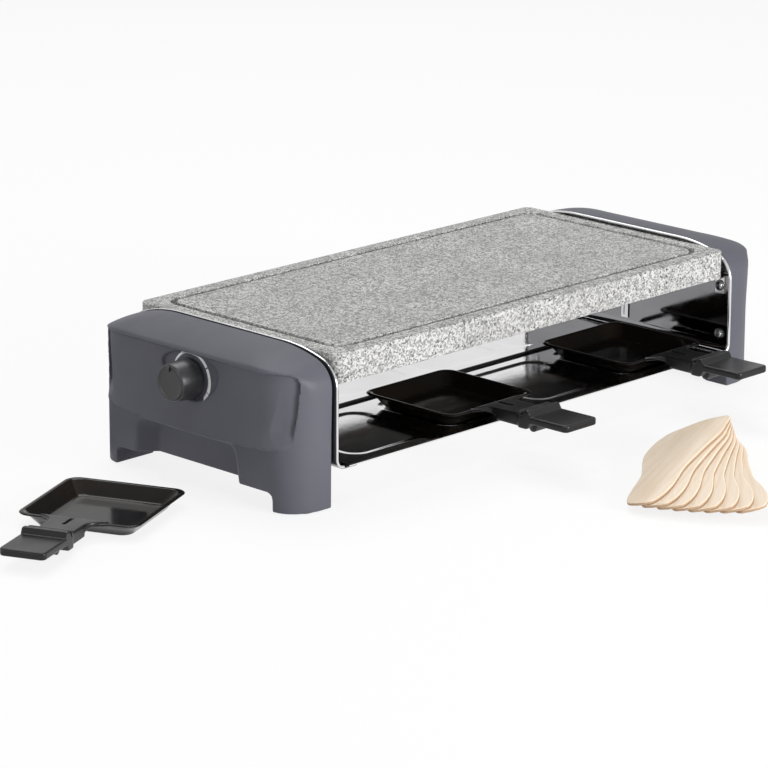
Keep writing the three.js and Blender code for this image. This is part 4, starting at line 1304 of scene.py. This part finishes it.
@dataclass
class StonePlate:
    """Granite plate with a juice groove, polished above and sawn at the sides."""

    workshop: Workshop
    half_length: float = 216.0
    half_depth: float = 105.5
    bottom: float = 91.0
    top: float = 113.0
    corner: float = 8.0
    corner_steps: int = 12
    least_corner: float = 1.0
    chamfer: float = 1.0
    chamfer_round: float = 0.3
    bottom_inset: float = 6.0
    top_inset: float = 4.0
    groove_inset: float = 15.0
    groove_half: float = 2.5
    groove_depth: float = 2.4
    groove_corner: float = 13.0
    groove_steps: int = 10
    middle_corner: float = 9.0

    def _ring(self, inset: float, height: float, corner: float | None = None) -> Points:
        """The plate's outline moved inwards.

        Args:
            inset: how far it is moved.
            height: its height.
            corner: its corner radius, where that doesn't follow from the plate's.

        Returns:
            The outline's points.
        """
        radius = corner or max(self.corner - inset, self.least_corner)
        outline = rounded_square(self.half_length - inset, self.half_depth - inset, radius, self.corner_steps)
        return at_height(outline, height)

    def build(self) -> None:
        """Builds the plate."""
        edge = ((self.bottom_inset, 0), (self.chamfer, 0), (self.chamfer_round, self.chamfer_round),
                (0, self.chamfer))
        rings = [self._ring(inset, self.bottom + rise) for inset, rise in edge]
        edge_above = edge[:0:-1] + ((self.top_inset, 0),)
        rings += [self._ring(inset, self.top - fall) for inset, fall in edge_above]
        for share in np.linspace(-1, 1, self.groove_steps + 1):
            depth = self.groove_depth * math.sqrt(max(1 - share * share, 0))
            rings.append(self._ring(self.groove_inset + share * self.groove_half, self.top - depth,
                                    self.groove_corner - share * self.groove_half))
        rings.append(self._ring(self.groove_inset + 2 * self.groove_half, self.top, self.middle_corner))
        self.workshop.piece("stone_slab", skinned(rings), GRANITE, "stone", "granite", ("stone_plate",),
                            crisp=30)


@dataclass
class BaseTray:
    """Mirror steel tray with its pressed pan places, middle ridge and hems."""

    workshop: Workshop
    half_length: float = 208.0
    half_depth: float = 109.5
    top: float = 30.6
    sheet: float = 0.8
    columns: int = 4
    pitch: float = 99.0
    row: float = 56.0
    size: float = 80.5
    corner: float = 14.0
    sunk: float = 0.6
    press_softness: float = 0.8
    ridge_height: float = 2.0
    ridge_half: float = 1.3
    ridge_end: float = 200.0
    ridge_fade: float = 1.0
    hem_drop: float = 0.35
    hem_width: float = 1.2
    fold_drop: float = 0.4
    fold_width: float = 5.0
    grid: float = 1.25
    least_gap: float = 0.1

    def _relief(self, x: Points, y: Points) -> Points:
        """Height of the pressed sheet over its flat level.

        Args:
            x: place along the grill.
            y: place across the grill.

        Returns:
            The heights.
        """
        outer = self.columns // 2
        column = np.clip(np.round(x / self.pitch - 0.5), -outer, outer - 1) + 0.5
        local_x = np.abs(x - column * self.pitch)
        local_y = np.abs(np.abs(y) - self.row)
        inner = self.size / 2 - self.corner
        gap = np.hypot(np.maximum(local_x - inner, 0), np.maximum(local_y - inner, 0))
        away = gap + np.minimum(np.maximum(local_x, local_y) - inner, 0) - self.corner
        along = faded(np.abs(x) - self.ridge_end, self.ridge_fade)
        ridge = self.ridge_height * plateau(y, self.ridge_half) * along
        return ridge - self.sunk * faded(away, self.press_softness)

    def _lines(self, half: float) -> Points:
        """Places of the grid's lines from edge to edge.

        Args:
            half: half the tray's size.

        Returns:
            The places, the last one on the edge.
        """
        lines = np.arange(-half, half + self.least_gap / 10, self.grid)
        return np.append(lines, half) if half - lines[-1] > self.least_gap else lines

    def build(self) -> None:
        """Builds the tray."""
        lines = self._lines(self.half_length), self._lines(self.half_depth)
        grid_x, grid_y = np.meshgrid(*lines, indexing="ij")
        lift = self._relief(grid_x, grid_y)
        edge = self.half_depth - np.abs(grid_y)
        hem = self.hem_drop * np.clip(1 - edge / self.hem_width, 0, 1) ** 2
        fold = self.fold_drop * (edge < self.fold_width)
        upper = np.stack((grid_x, grid_y, self.top + lift - hem), -1).reshape(-1, 3)
        lower = np.stack((grid_x, grid_y, self.top - self.sheet + lift - fold), -1).reshape(-1, 3)
        index = np.arange(grid_x.size).reshape(grid_x.shape)
        corners = (index[:-1, :-1], index[1:, :-1], index[1:, 1:], index[:-1, 1:])
        quads = np.stack(corners, -1).reshape(-1, 4)
        under = quads[:, ::-1] + index.size
        loop = np.concatenate((index[:, 0], index[-1, 1:], index[::-1, -1][1:], index[0, ::-1][1:-1]))
        after = np.roll(loop, -1)
        sides = np.stack((loop + index.size, after + index.size, after, loop), 1)
        shape = Shape(np.vstack((upper, lower)), np.vstack((quads, under, sides)).tolist())
        self.workshop.piece("tray_sheet", shape, TRAY_STEEL, "grill", "mirror_steel", ("base_tray",),
                            crisp=30)


@dataclass
class HeatingElement:
    """Tubular hairpin element under the stone."""

    workshop: Workshop
    radius: float = 3.25
    sides: int = 24
    height: float = 76.0
    leg: float = 52.0
    bend: float = 34.0
    bend_steps: int = 16
    far: float = 205.0
    start: float = -242.2
    pin_radius: float = 1.3
    pin_length: float = 7.0
    pin_sides: int = 20

    def build(self) -> None:
        """Builds the element with its connection pins."""
        centre = (self.far - self.bend, self.bend - self.leg)
        bend = arc(centre, self.bend, (-QUARTER_TURN, 0), self.bend_steps)
        front = at_height(np.vstack(((self.start, -self.leg), bend)), self.height)
        whole = np.vstack((front, front[::-1] * np.array((1, -1, 1))))
        shape = tube(whole, self.radius, self.sides, (0.0, 0.0, 1.0))
        ends = (self.start - self.pin_length, self.start + 1)
        pin = turned([(end, self.pin_radius) for end in ends], self.pin_sides)
        for side in (-1, 1):
            shape = shape.joined(pin.placed(Matrix.Translation((0, side * self.leg, self.height))))
        self.workshop.piece("element_tube", shape, ELEMENT_METAL, "grill", "element_metal",
                            ("heating_element",))


@dataclass
class RaclettePan:
    """Pressed dish with a rolled rim, a tongue and a moulded handle.

    A band across the handle is given as its shift from a place along it, its half length and
    its height.
    """

    workshop: Workshop
    rim_half: float = 47.0
    base_half: float = 36.0
    height: float = 11.1
    rim_width: float = 3.4
    rim_corner: float = 10.0
    base_corner: float = 8.0
    corner_steps: int = 10
    tongue: float = 34.0
    tongue_start: float = 1.3
    tongue_steps: int = 24
    tongue_sheet: float = 1.0
    tongue_gap: float = 0.3
    neck_half: float = 14.5
    root_half: float = 28.0
    grip_half: float = 17.5
    neck: float = 38.0
    neck_rise: float = 1.2
    neck_depth: float = 6.5
    collar: float = 11.0
    grip: float = 38.0
    grip_rise: float = 2.4
    grip_fall: float = 0.5
    grip_depth: float = 5.6
    grip_corner: float = 4.0
    flare: float = 15.0
    flare_power: float = 2.6
    flare_start: float = 0.2
    root_depth: float = 5.2
    plate: float = 2.0
    fade: float = 0.7
    lip: Place = (-1.4, 2.1, 3.2)
    ridge: Place = (2.0, 3.4, 4.8)
    lug: Place = (3.0, 4.2, 4.0)
    lug_half: float = 8.0
    slot_half: float = 1.25
    slot_length: float = 16.0
    slot_start: float = 3.0
    slot_skin: float = 1.0
    section_round: float = 1.2
    plan_round: float = 1.6
    hollow_round: float = 0.6
    slot_round: float = 0.5
    grid: float = 0.75
    margin: float = 2.0
    headroom: float = 12.0

    def dish(self) -> Shape:
        """The pressed dish, its base at height zero.

        Returns:
            The dish, skinned from under its base over the rim to the middle of its floor.
        """
        top, rim, base = self.height, self.rim_half, self.base_half
        inner = rim - self.rim_width
        rim_corner, base_corner = self.rim_corner, self.base_corner
        rings = (
            (base - 6, 5, 0), (base, base_corner, 0), (base + 0.7, base_corner + 0.5, 0.25),
            (base + 1.3, base_corner + 1, 1.0), (inner - 0.6, rim_corner - 0.6, top - 2.2),
            (rim - 1.2, rim_corner, top - 1.7), (rim - 0.25, rim_corner, top - 1.3),
            (rim, rim_corner, top - 0.75), (rim - 0.3, rim_corner, top - 0.3),
            (rim - 1.1, rim_corner, top - 0.04), (rim - 1.8, rim_corner, top),
            (inner + 0.8, rim_corner - 0.5, top - 0.08), (inner, rim_corner - 0.8, top - 0.4),
            (inner - 0.9, rim_corner - 1.2, top - 1.1), (base + 0.8, base_corner + 0.4, 2.6),
            (base - 0.4, base_corner, 1.5), (base - 2.2, base_corner - 1, 1.0), (base - 9, 4, 0.9))
        return skinned([at_height(rounded_square(half, half, corner, self.corner_steps), height)
                        for half, corner, height in rings])

    def _half_width(self, y: Points, root: float, neck: float) -> Points:
        """Half width of the flared root at a place along the handle."""
        share = share_of(-y, (self.rim_half, self.rim_half + self.flare))
        return mixed(neck, root, (1 - share) ** self.flare_power)

    def tongue_plate(self) -> Shape:
        """The metal tongue under the handle.

        Returns:
            The tongue, a little narrower than the handle.
        """
        inset = self.plate + self.tongue_gap
        root = -self.rim_half
        ys = np.linspace(root + self.tongue_start, root - self.tongue, self.tongue_steps)
        width = self._half_width(ys, self.root_half - inset, self.neck_half - inset)
        outline = np.vstack((np.column_stack((width, ys)), np.column_stack((-width, ys))[::-1]))[::-1]
        high = self.height - self.tongue_gap
        return skinned([at_height(outline, high - self.tongue_sheet), at_height(outline, high)])

    def _band(self, y: Points, place: float, band: Place) -> Points:
        """Height that a band adds at places along the handle."""
        return plateau(y - place - band[0], band[1]) * band[2]

    def handle_field(self, x: Points, y: Points, z: Points) -> Points:
        """Signed field of the moulded handle, which runs towards -Y from the rim.

        Args:
            x: place across the handle.
            y: place along the handle.
            z: height over the dish's base.

        Returns:
            Negative inside.
        """
        root = -self.rim_half
        collar = root - self.neck
        grip = collar - self.collar
        end = grip - self.grip
        low = self.height + self.tongue_gap
        top = low + self.plate
        side = np.abs(x)
        on_grip = faded(y - grip, self.fade)
        grip_top = top + self.grip_rise - self.grip_fall * share_of(y, (end, grip))
        neck_top = top + self.neck_rise * share_of(-y, (-root, -collar))
        bands = np.maximum(self._band(y, collar, self.lip), self._band(y, grip, self.ridge))
        upper = mixed(neck_top, grip_top, on_grip) + bands
        flare_from = -root + self.flare * self.flare_start
        root_low = low - self.root_depth * share_of(-y, (flare_from, flare_from + self.flare))
        neck_low = np.where(y > root - self.flare, root_low, low - self.neck_depth)
        lower = mixed(neck_low, grip_top - self.grip_depth, on_grip)
        lower = lower - self._band(y, grip, self.lug) * (side < self.lug_half)
        neck_width = self._half_width(y, self.root_half, self.neck_half)
        width = mixed(neck_width, self.grip_half, faded(y - collar, self.fade))
        over_end = np.maximum(end + self.grip_corner - y, 0)
        over_side = np.maximum(side - width + self.grip_corner, 0)
        plan = np.where((over_end > 0) & (over_side > 0), np.hypot(over_end, over_side) - self.grip_corner,
                        np.maximum(np.maximum(end - y, y - root), side - width))
        body = soft_max(plan, soft_max(z - upper, lower - z, self.section_round), self.plan_round)
        under = np.maximum(side - self.neck_half + self.plate, z - low)
        hollow = np.maximum(under, collar + self.plate - y)
        slot_middle = root - self.slot_start - self.slot_length / 2
        past_slot = np.maximum(np.abs(y - slot_middle) - self.slot_length / 2 + self.slot_half, 0)
        slot = np.maximum(np.hypot(side, past_slot) - self.slot_half, low + self.slot_skin - z)
        return soft_max(soft_max(body, -hollow, self.hollow_round), -slot, self.slot_round)

    def handle_skin(self) -> Shape:
        """The handle's skin.

        Returns:
            The skin, the same for every pan.
        """
        end = -self.rim_half - self.neck - self.collar - self.grip
        return field_skin(
            self.handle_field, (-self.root_half - self.margin, end - self.margin, 0),
            (self.root_half + self.margin, self.margin - self.rim_half, self.height + self.headroom),
            self.grid)

    def build(self, name: str, place: Matrix, skin: Shape) -> None:
        """Builds one pan.

        Args:
            name: the pan's body, from which its nodes are named.
            place: the pan's place, in millimetres from the grill's middle.
            skin: the handle's skin, made once for all pans.
        """
        dish = self.dish().joined(self.tongue_plate()).placed(place)
        self.workshop.piece(f"{name}_pressing", dish, PAN_COATING, name, "pan_coating", (f"{name}_dish",),
                            crisp=45)
        self.workshop.piece(f"{name}_moulding", skin.placed(place), HANDLE_PLASTIC, name, "handle_plastic",
                            (f"{name}_handle",), crisp=60)
        self.workshop.dress(SCREW_STEEL, f"{name}_screw")


@dataclass
class ControlKnob:
    """Thermostat knob with its pointer, and the shaft behind it."""

    workshop: Workshop
    back: float = 262.9
    height: float = 18.5
    base_radius: float = 15.2
    face_radius: float = 13.9
    sides: int = 96
    pointer_half: Span = (1.1, 2.3)
    pointer_corner: float = 0.9
    pointer_steps: int = 5
    pointer_inset: float = 3.3
    rest_angle: float = math.pi / 22

    def build(self) -> None:
        """Builds the knob and dresses its shaft."""
        back, face = self.back, self.back + self.height
        base, front = self.base_radius, self.face_radius
        body = turned([
            (back + 2, base - 2.4), (back, base - 1.2), (back, base - 0.4), (back + 0.4, base),
            (face - 1.6, front + 0.1), (face - 0.9, front - 0.15), (face - 0.35, front - 0.6),
            (face, front - 1.3), (face - 0.1, front - 1.9), (face - 0.6, front - 3.0),
            (face - 0.7, front - 5.0), (face - 0.7, 0.4)], self.sides)
        outline = rounded_square(*self.pointer_half, self.pointer_corner, self.pointer_steps)
        middle = (0, front - self.pointer_inset)
        pointer = skinned([at_x(outline * size + middle, x)
                           for x, size in ((face - 1.6, 1.0), (face + 0.5, 1.0), (face + 0.9, 0.75))])
        turn = Matrix.Translation((0, 0, DIAL_HEIGHT)) @ Matrix.Rotation(self.rest_angle, 4, "X")
        shape = body.joined(pointer).placed(HALF_TURN @ turn)
        self.workshop.piece("knob_moulding", shape, KNOB_PLASTIC, "knob", "knob_plastic", ("control_knob",),
                            crisp=40)
        self.workshop.dress(SCREW_STEEL, "thermostat_shaft")


@dataclass
class LinerScrews:
    """Cross-head screws with washers that hold the liners."""

    workshop: Workshop
    face: float = LINER_FACE
    across: float = 98.4
    heights: dict[str, float] = field(default_factory=lambda: {"upper": 83.0, "lower": 43.0})
    seat_gap: float = 0.3
    upper_gap: float = 1.1
    head_radius: float = 3.2
    head_height: float = 2.8
    dome: float = 1.5
    washer_radius: float = 4.4
    washer_height: float = 0.8
    cross_half: Span = (1.9, 0.42)
    cross_floor: float = 1.7
    cross_round: float = 0.2
    cross_edge: float = 0.15
    edge_round: float = 0.3
    face_round: float = 0.5
    join_round: float = 0.2
    shank: tuple[Span, ...] = ((-0.2, 1.5), (11.5, 1.5))
    shank_sides: int = 24
    first_spin: float = 0.3
    grid: float = 0.22

    def screw_field(self, x: Points, y: Points, z: Points) -> Points:
        """Signed field of a screw head and washer; the head looks along -X, the seat at zero.

        Args:
            x: place along the screw.
            y: place across the screw.
            z: height from its axis.

        Returns:
            Negative inside.
        """
        radius = np.hypot(y, z)
        edge = self.edge_round
        washer = soft_max(soft_max(radius - self.washer_radius, x, edge), -self.washer_height - x, edge)
        dome = np.hypot(np.minimum(x + self.washer_height, 0) * self.dome, radius) - self.head_radius
        head = soft_max(soft_max(dome, x, edge), -self.head_height - x, self.face_round)
        long, narrow = self.cross_half
        bars = [np.maximum(np.abs(one) - narrow, np.abs(other) - long) for one, other in ((y, z), (z, y))]
        recess = soft_max(np.minimum(*bars), x + self.cross_floor, self.cross_round)
        return soft_max(soft_min(washer, head, self.join_round), -recess, self.cross_edge)

    def build(self) -> None:
        """Builds the eight screws."""
        skin = field_skin(self.screw_field, (-3.5, -5, -5), (0.6, 5, 5), self.grid)
        screw = skin.joined(turned(self.shank, self.shank_sides))
        for end_name in EndName:
            for row, side in (("front", -1), ("back", 1)):
                for level, height in self.heights.items():
                    seat = self.face - self.seat_gap - (self.upper_gap if level == "upper" else 0)
                    local_side = side if end_name is EndName.RIGHT else -side
                    place = Matrix.Translation((seat, local_side * self.across, height))
                    spin = Matrix.Rotation(self.first_spin + height + side, 4, "X")
                    node = f"liner_screw_{end_name.value}_{row}_{level}"
                    shape = screw.placed(end_name.turn() @ place @ spin)
                    self.workshop.piece(f"{node}_head", shape, SCREW_STEEL, "grill", "screw_steel", (node,),
                                        crisp=45)


@dataclass
class SpatulaFan:
    """Wooden spatulas fanned out on the table, each leaning on the next.

    An edge is given as (share of the length, share of the width) from tip to foot.
    """

    workshop: Workshop
    count: int = 8
    length: float = 172.0
    width: float = 48.0
    thickness: float = 2.2
    gap: float = 0.3
    pivot: Span = (83.0, -221.5)
    first_turn: float = math.radians(226)
    turn_step: float = math.radians(-3.95)
    tilt: float = math.radians(14)
    pivot_share: float = 0.03
    edge_points: int = 60
    softened: tuple[Span, ...] = ((0.6, 0), (0.18, 0.18), (0, 0.6))
    bulged_edge: tuple[Span, ...] = (
        (0, 0.03), (0.034, 0.29), (0.115, 0.56), (0.197, 0.74), (0.278, 0.795), (0.36, 0.797),
        (0.44, 0.764), (0.52, 0.675), (0.603, 0.56), (0.685, 0.463), (0.765, 0.42),
        (0.847, 0.38), (0.93, 0.326), (0.977, 0.26), (1, 0.09))
    straight_edge: tuple[Span, ...] = (
        (0, 0.06), (0.034, 0.13), (0.115, 0.17), (0.197, 0.21), (0.36, 0.18), (0.52, 0.162),
        (0.603, 0.16), (0.685, 0.195), (0.765, 0.237), (0.847, 0.256), (0.93, 0.231),
        (0.977, 0.18), (1, 0.06))

    def _edge(self, shares: Sequence[Span], side: int) -> Points:
        """Runs a smooth curve along one edge.

        Args:
            shares: the edge's points.
            side: which side of the spatula's own X it lies on.

        Returns:
            Rows (x, y) from tip to foot.
        """
        known = np.array(shares)
        places = np.concatenate(([0], np.cumsum(np.hypot(*np.diff(known, axis=0).T))))
        fine = np.linspace(0, places[-1], self.edge_points)
        along, across = (smooth_through(places, column, fine) for column in known.T)
        return np.column_stack(((along - self.pivot_share) * self.length, side * across * self.width))

    def _spatula(self) -> Shape:
        """One spatula with softened edges, its pivot at the origin.

        Returns:
            The spatula.
        """
        outline = np.vstack((self._edge(self.straight_edge, 1), self._edge(self.bulged_edge, -1)[::-1]))
        slopes = np.roll(outline, -1, 0) - np.roll(outline, 1, 0)
        inward = unit_rows(np.column_stack((slopes[:, 1], -slopes[:, 0])))
        levels = self.softened + tuple((inset, self.thickness - rise) for inset, rise in self.softened[::-1])
        return skinned([at_height(outline + inward * inset, height)[::-1] for inset, height in levels])

    def build(self) -> None:
        """Builds the fan, each spatula with the places of its own frame so that its grain follows it."""
        shape = self._spatula()
        lean = Matrix.Rotation(self.first_turn, 4, "Z") @ Matrix.Rotation(self.tilt, 4, "X")
        places = [lean @ Matrix.Translation((0, 0, index * (self.thickness + self.gap)))
                  @ Matrix.Rotation(index * self.turn_step, 4, "Z") for index in range(self.count)]
        lowest = min(shape.placed(place).points[:, 2].min() for place in places)
        for index, place in enumerate(places):
            node = f"spatula_{index + 1}"
            lifted = Matrix.Translation((*self.pivot, -lowest)) @ place
            self.workshop.piece(f"{node}_wood", shape, WOOD, "spatulas", "spatula_wood", (node,), lifted,
                                crisp=60)


def smooth_through(places: Points, values: Points, fine: Points) -> Points:
    """Values of a smooth curve through points.

    Args:
        places: where the values are known, rising.
        values: the known values.
        fine: where the curve is wanted.

    Returns:
        The curve's values, by cubic Hermite pieces with limited slopes.
    """
    slopes = np.gradient(values, places)
    index = np.clip(np.searchsorted(places, fine, side="right") - 1, 0, len(places) - 2)
    width = places[index + 1] - places[index]
    share = (fine - places[index]) / width
    here = (1 + 2 * share) * values[index] + share * width * slopes[index]
    there = (3 - 2 * share) * values[index + 1] - (1 - share) * width * slopes[index + 1]
    return (1 - share) ** 2 * here + share ** 2 * there


@dataclass(frozen=True)
class Softbox:
    """One square lamp, its place and size in metres and its power in watts."""

    name: str
    place: Place
    size: float
    power: float


@dataclass
class Studio:
    """Pale floor, soft lamps and the photograph's camera.

    The camera's place is in millimetres, the rest in metres, all from the grill's middle.
    """

    workshop: Workshop
    focal: float = 179.05
    sensor: float = 36.0
    view_end: float = 60.0
    pitch: float = math.radians(16.169)
    yaw: float = math.radians(45.734)
    roll: float = math.radians(0.257)
    place: Place = (-2062.4, -1951.2, 848.9)
    floor_half: float = 14.0
    floor_height: float = -0.0002
    floor_colour: Colour = (0.93, 0.93, 0.93, 1.0)
    floor_roughness: float = 0.9
    floor_glow: float = 0.84
    white: Colour = (1.0, 1.0, 1.0, 1.0)
    world_strength: float = 0.30
    gloss_strength: float = 0.85
    zenith_share: float = 0.85
    zenith_rise: Span = (0.35, 0.85)
    # span of the black card that paints dark reflections, in metres from the grill's middle
    card: tuple[Span, Span] = ((-0.35, 0.24), (0.112, 0.5))
    card_height: float = 0.0005
    aim_height: float = 0.06
    lamps: tuple[Softbox, ...] = (
        Softbox("key_softbox", (0.3, -2.8, 0.65), 1.1, 82.0),
        Softbox("top_softbox", (0.4, 0.9, 2.4), 1.6, 31.0),
        Softbox("low_softbox", (-2.5, 0.6, 0.5), 0.7, 9.0),
        Softbox("spark_lamp", (-0.9, -0.7, 2.3), 0.13, 8.0))

    def build(self) -> None:
        """Builds the camera, the floor, the world, the lamps and the black card that paints dark reflections.
        """
        self._camera()
        self._floor()
        self._world()
        for lamp in self.lamps:
            self._hang(lamp)
        self._painted_reflection_card()

    def _linked(self, name: str, data: bpy.types.ID) -> bpy.types.Object:
        """Links a new object to the scene.

        Args:
            name: the object's name.
            data: its mesh, lamp or camera.

        Returns:
            The object.
        """
        made = bpy.data.objects.new(name, data)
        bpy.context.scene.collection.objects.link(made)
        return made

    def _flat(self, name: str, span_x: Span, span_y: Span, height: float) -> bpy.types.Object:
        """Lays a flat rectangle.

        Args:
            name: the object's name.
            span_x: its lowest and highest X.
            span_y: its lowest and highest Y.
            height: its height.

        Returns:
            The object.
        """
        (left, right), (near, far) = span_x, span_y
        mesh = bpy.data.meshes.new(name)
        corners = ((left, near), (right, near), (right, far), (left, far))
        mesh.from_pydata([(*corner, height) for corner in corners], [], [(0, 1, 2, 3)])
        return self._linked(name, mesh)

    def _camera(self) -> None:
        """Sets the camera."""
        camera = bpy.data.cameras.new("photo_camera")
        camera.lens = self.focal
        camera.sensor_width = self.sensor
        camera.clip_end = self.view_end
        rig = self._linked("photo_camera", camera)
        ahead = Vector((math.sin(self.yaw) * math.cos(self.pitch),
                        math.cos(self.yaw) * math.cos(self.pitch), -math.sin(self.pitch)))
        level = Vector((math.cos(self.yaw), -math.sin(self.yaw), 0))
        over = level.cross(ahead)
        right = math.cos(self.roll) * level + math.sin(self.roll) * over
        up = math.cos(self.roll) * over - math.sin(self.roll) * level
        matrix = Matrix((right, up, -ahead)).transposed().to_4x4()
        matrix.translation = Vector(self.place) * MILLIMETRE + self.workshop.middle
        rig.matrix_world = matrix
        bpy.context.scene.camera = rig

    def _floor(self) -> None:
        """Lays the floor, which glows where it is seen and is lit where it is not."""
        reach = (-self.floor_half, self.floor_half)
        floor = self._flat("studio_floor", reach, reach, 0)
        floor.location.z = self.floor_height
        material = bpy.data.materials.new("studio_paper")
        material.use_nodes = True
        sockets = Sockets(material.node_tree)
        shader = material.node_tree.nodes["Principled BSDF"]
        sockets.feed_all(shader, Base_Color=self.floor_colour, Roughness=self.floor_roughness,
                         Specular_IOR_Level=0.0)
        glow = sockets.add("ShaderNodeEmission", Color=self.white, Strength=1.0)
        straight, gloss = self._rays(sockets)
        share = sockets.maths("MULTIPLY", sockets.maths("MAXIMUM", straight, gloss), self.floor_glow)
        mix = sockets.add("ShaderNodeMixShader")
        shown = sockets.numbered(mix, {0: share, 1: shader.outputs[0], 2: glow.outputs[0]})
        sockets.feed(material.node_tree.nodes["Material Output"], 0, shown)
        floor.data.materials.append(material)

    def _rays(self, sockets: Sockets) -> tuple[Socket, Socket]:
        """One where the camera looks straight or through glass, and one where gloss looks.

        Args:
            sockets: the helper of the tree.

        Returns:
            Both masks.
        """
        rays = sockets.add("ShaderNodeLightPath").outputs
        straight = sockets.maths("MAXIMUM", rays["Is Camera Ray"], rays["Is Transmission Ray"])
        return straight, rays["Is Glossy Ray"]

    def _world(self) -> None:
        """Sets an even pale surround, white where the camera or gloss sees it."""
        world = bpy.data.worlds.new("studio_surround")
        world.use_nodes = True
        bpy.context.scene.world = world
        world.node_tree.nodes.clear()
        sockets = Sockets(world.node_tree)
        straight, gloss = self._rays(sockets)
        rise = sockets.height(sockets.add("ShaderNodeTexCoord").outputs["Generated"])
        zenith = self.gloss_strength * self.zenith_share
        ceiling = sockets.span(rise, *self.zenith_rise, self.gloss_strength, zenith)
        unseen = sockets.between(gloss, self.world_strength, ceiling)
        strength = sockets.between(straight, unseen, 1.0)
        back = sockets.add("ShaderNodeBackground", Color=self.white, Strength=strength)
        sockets.add("ShaderNodeOutputWorld", Surface=back.outputs[0])

    def _painted_reflection_card(self) -> None:
        """Lays a black card behind the grill that only gloss sees: a painted dark reflection in the metal,
        unseen by the camera and casting no shadow.
        """
        middle = self.workshop.middle
        span_x, span_y = (tuple(edge + start for edge in span) for span, start in zip(self.card, middle))
        card = self._flat("painted_reflection_card", span_x, span_y, self.card_height)
        card.data.materials.append(RUBBER.material())
        for ray in ("camera", "diffuse", "transmission", "shadow"):
            setattr(card, f"visible_{ray}", False)

    def _hang(self, box: Softbox) -> None:
        """Hangs one lamp that looks at the grill.

        Args:
            box: the lamp.
        """
        lamp = bpy.data.lights.new(box.name, "AREA")
        lamp.shape = "SQUARE"
        lamp.size = box.size
        lamp.energy = box.power
        rig = self._linked(box.name, lamp)
        rig.location = Vector(box.place) + self.workshop.middle
        target = self.workshop.middle + Vector((0, 0, self.aim_height))
        rig.rotation_euler = (target - rig.location).to_track_quat("-Z", "Y").to_euler()


def main() -> None:
    """Builds the grill's pieces in order, then the studio."""
    logging.basicConfig(level=logging.INFO, format="%(name)s: %(message)s")
    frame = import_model()
    bpy.context.scene.view_settings.view_transform = "Standard"
    workshop = Workshop(frame)

    EndHousing(workshop).build(EndName.RIGHT)
    control = ControlHousing(workshop)
    control.build(EndName.LEFT)
    control.build_scale()
    liner = EndLiner(workshop)
    for end_name in EndName:
        liner.build(end_name)
    StonePlate(workshop).build()
    tray = BaseTray(workshop)
    tray.build()
    HeatingElement(workshop).build()
    LinerScrews(workshop).build()
    ControlKnob(workshop).build()

    pan = RaclettePan(workshop)
    skin = pan.handle_skin()
    front_row, seat = -57.5, 30.9
    places = {
        "pan_2": Matrix.Translation((-0.5 * tray.pitch, front_row, seat)),
        "pan_4": Matrix.Translation((1.5 * tray.pitch, front_row, seat)),
        "pan_loose": Matrix.Translation((-349, -2, 0)) @ Matrix.Rotation(math.radians(-66), 4, "Z"),
    }
    for name, place in places.items():
        pan.build(name, place, skin)
    SpatulaFan(workshop).build()

    sides = [f"{end.value}_{row}" for end in EndName for row in ("front", "back")]
    workshop.dress(LINER_STEEL, "heater_end_bracket", *[f"stone_bracket_{side}" for side in sides])
    workshop.dress(RUBBER, "cord_gland", *[f"foot_pad_{side}" for side in sides])
    workshop.dress(CERAMIC, "thermostat_body", "terminal_block", "element_collar_back",
                   "element_collar_front")
    Studio(workshop).build()

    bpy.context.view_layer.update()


if __name__ == "__main__":
    main()
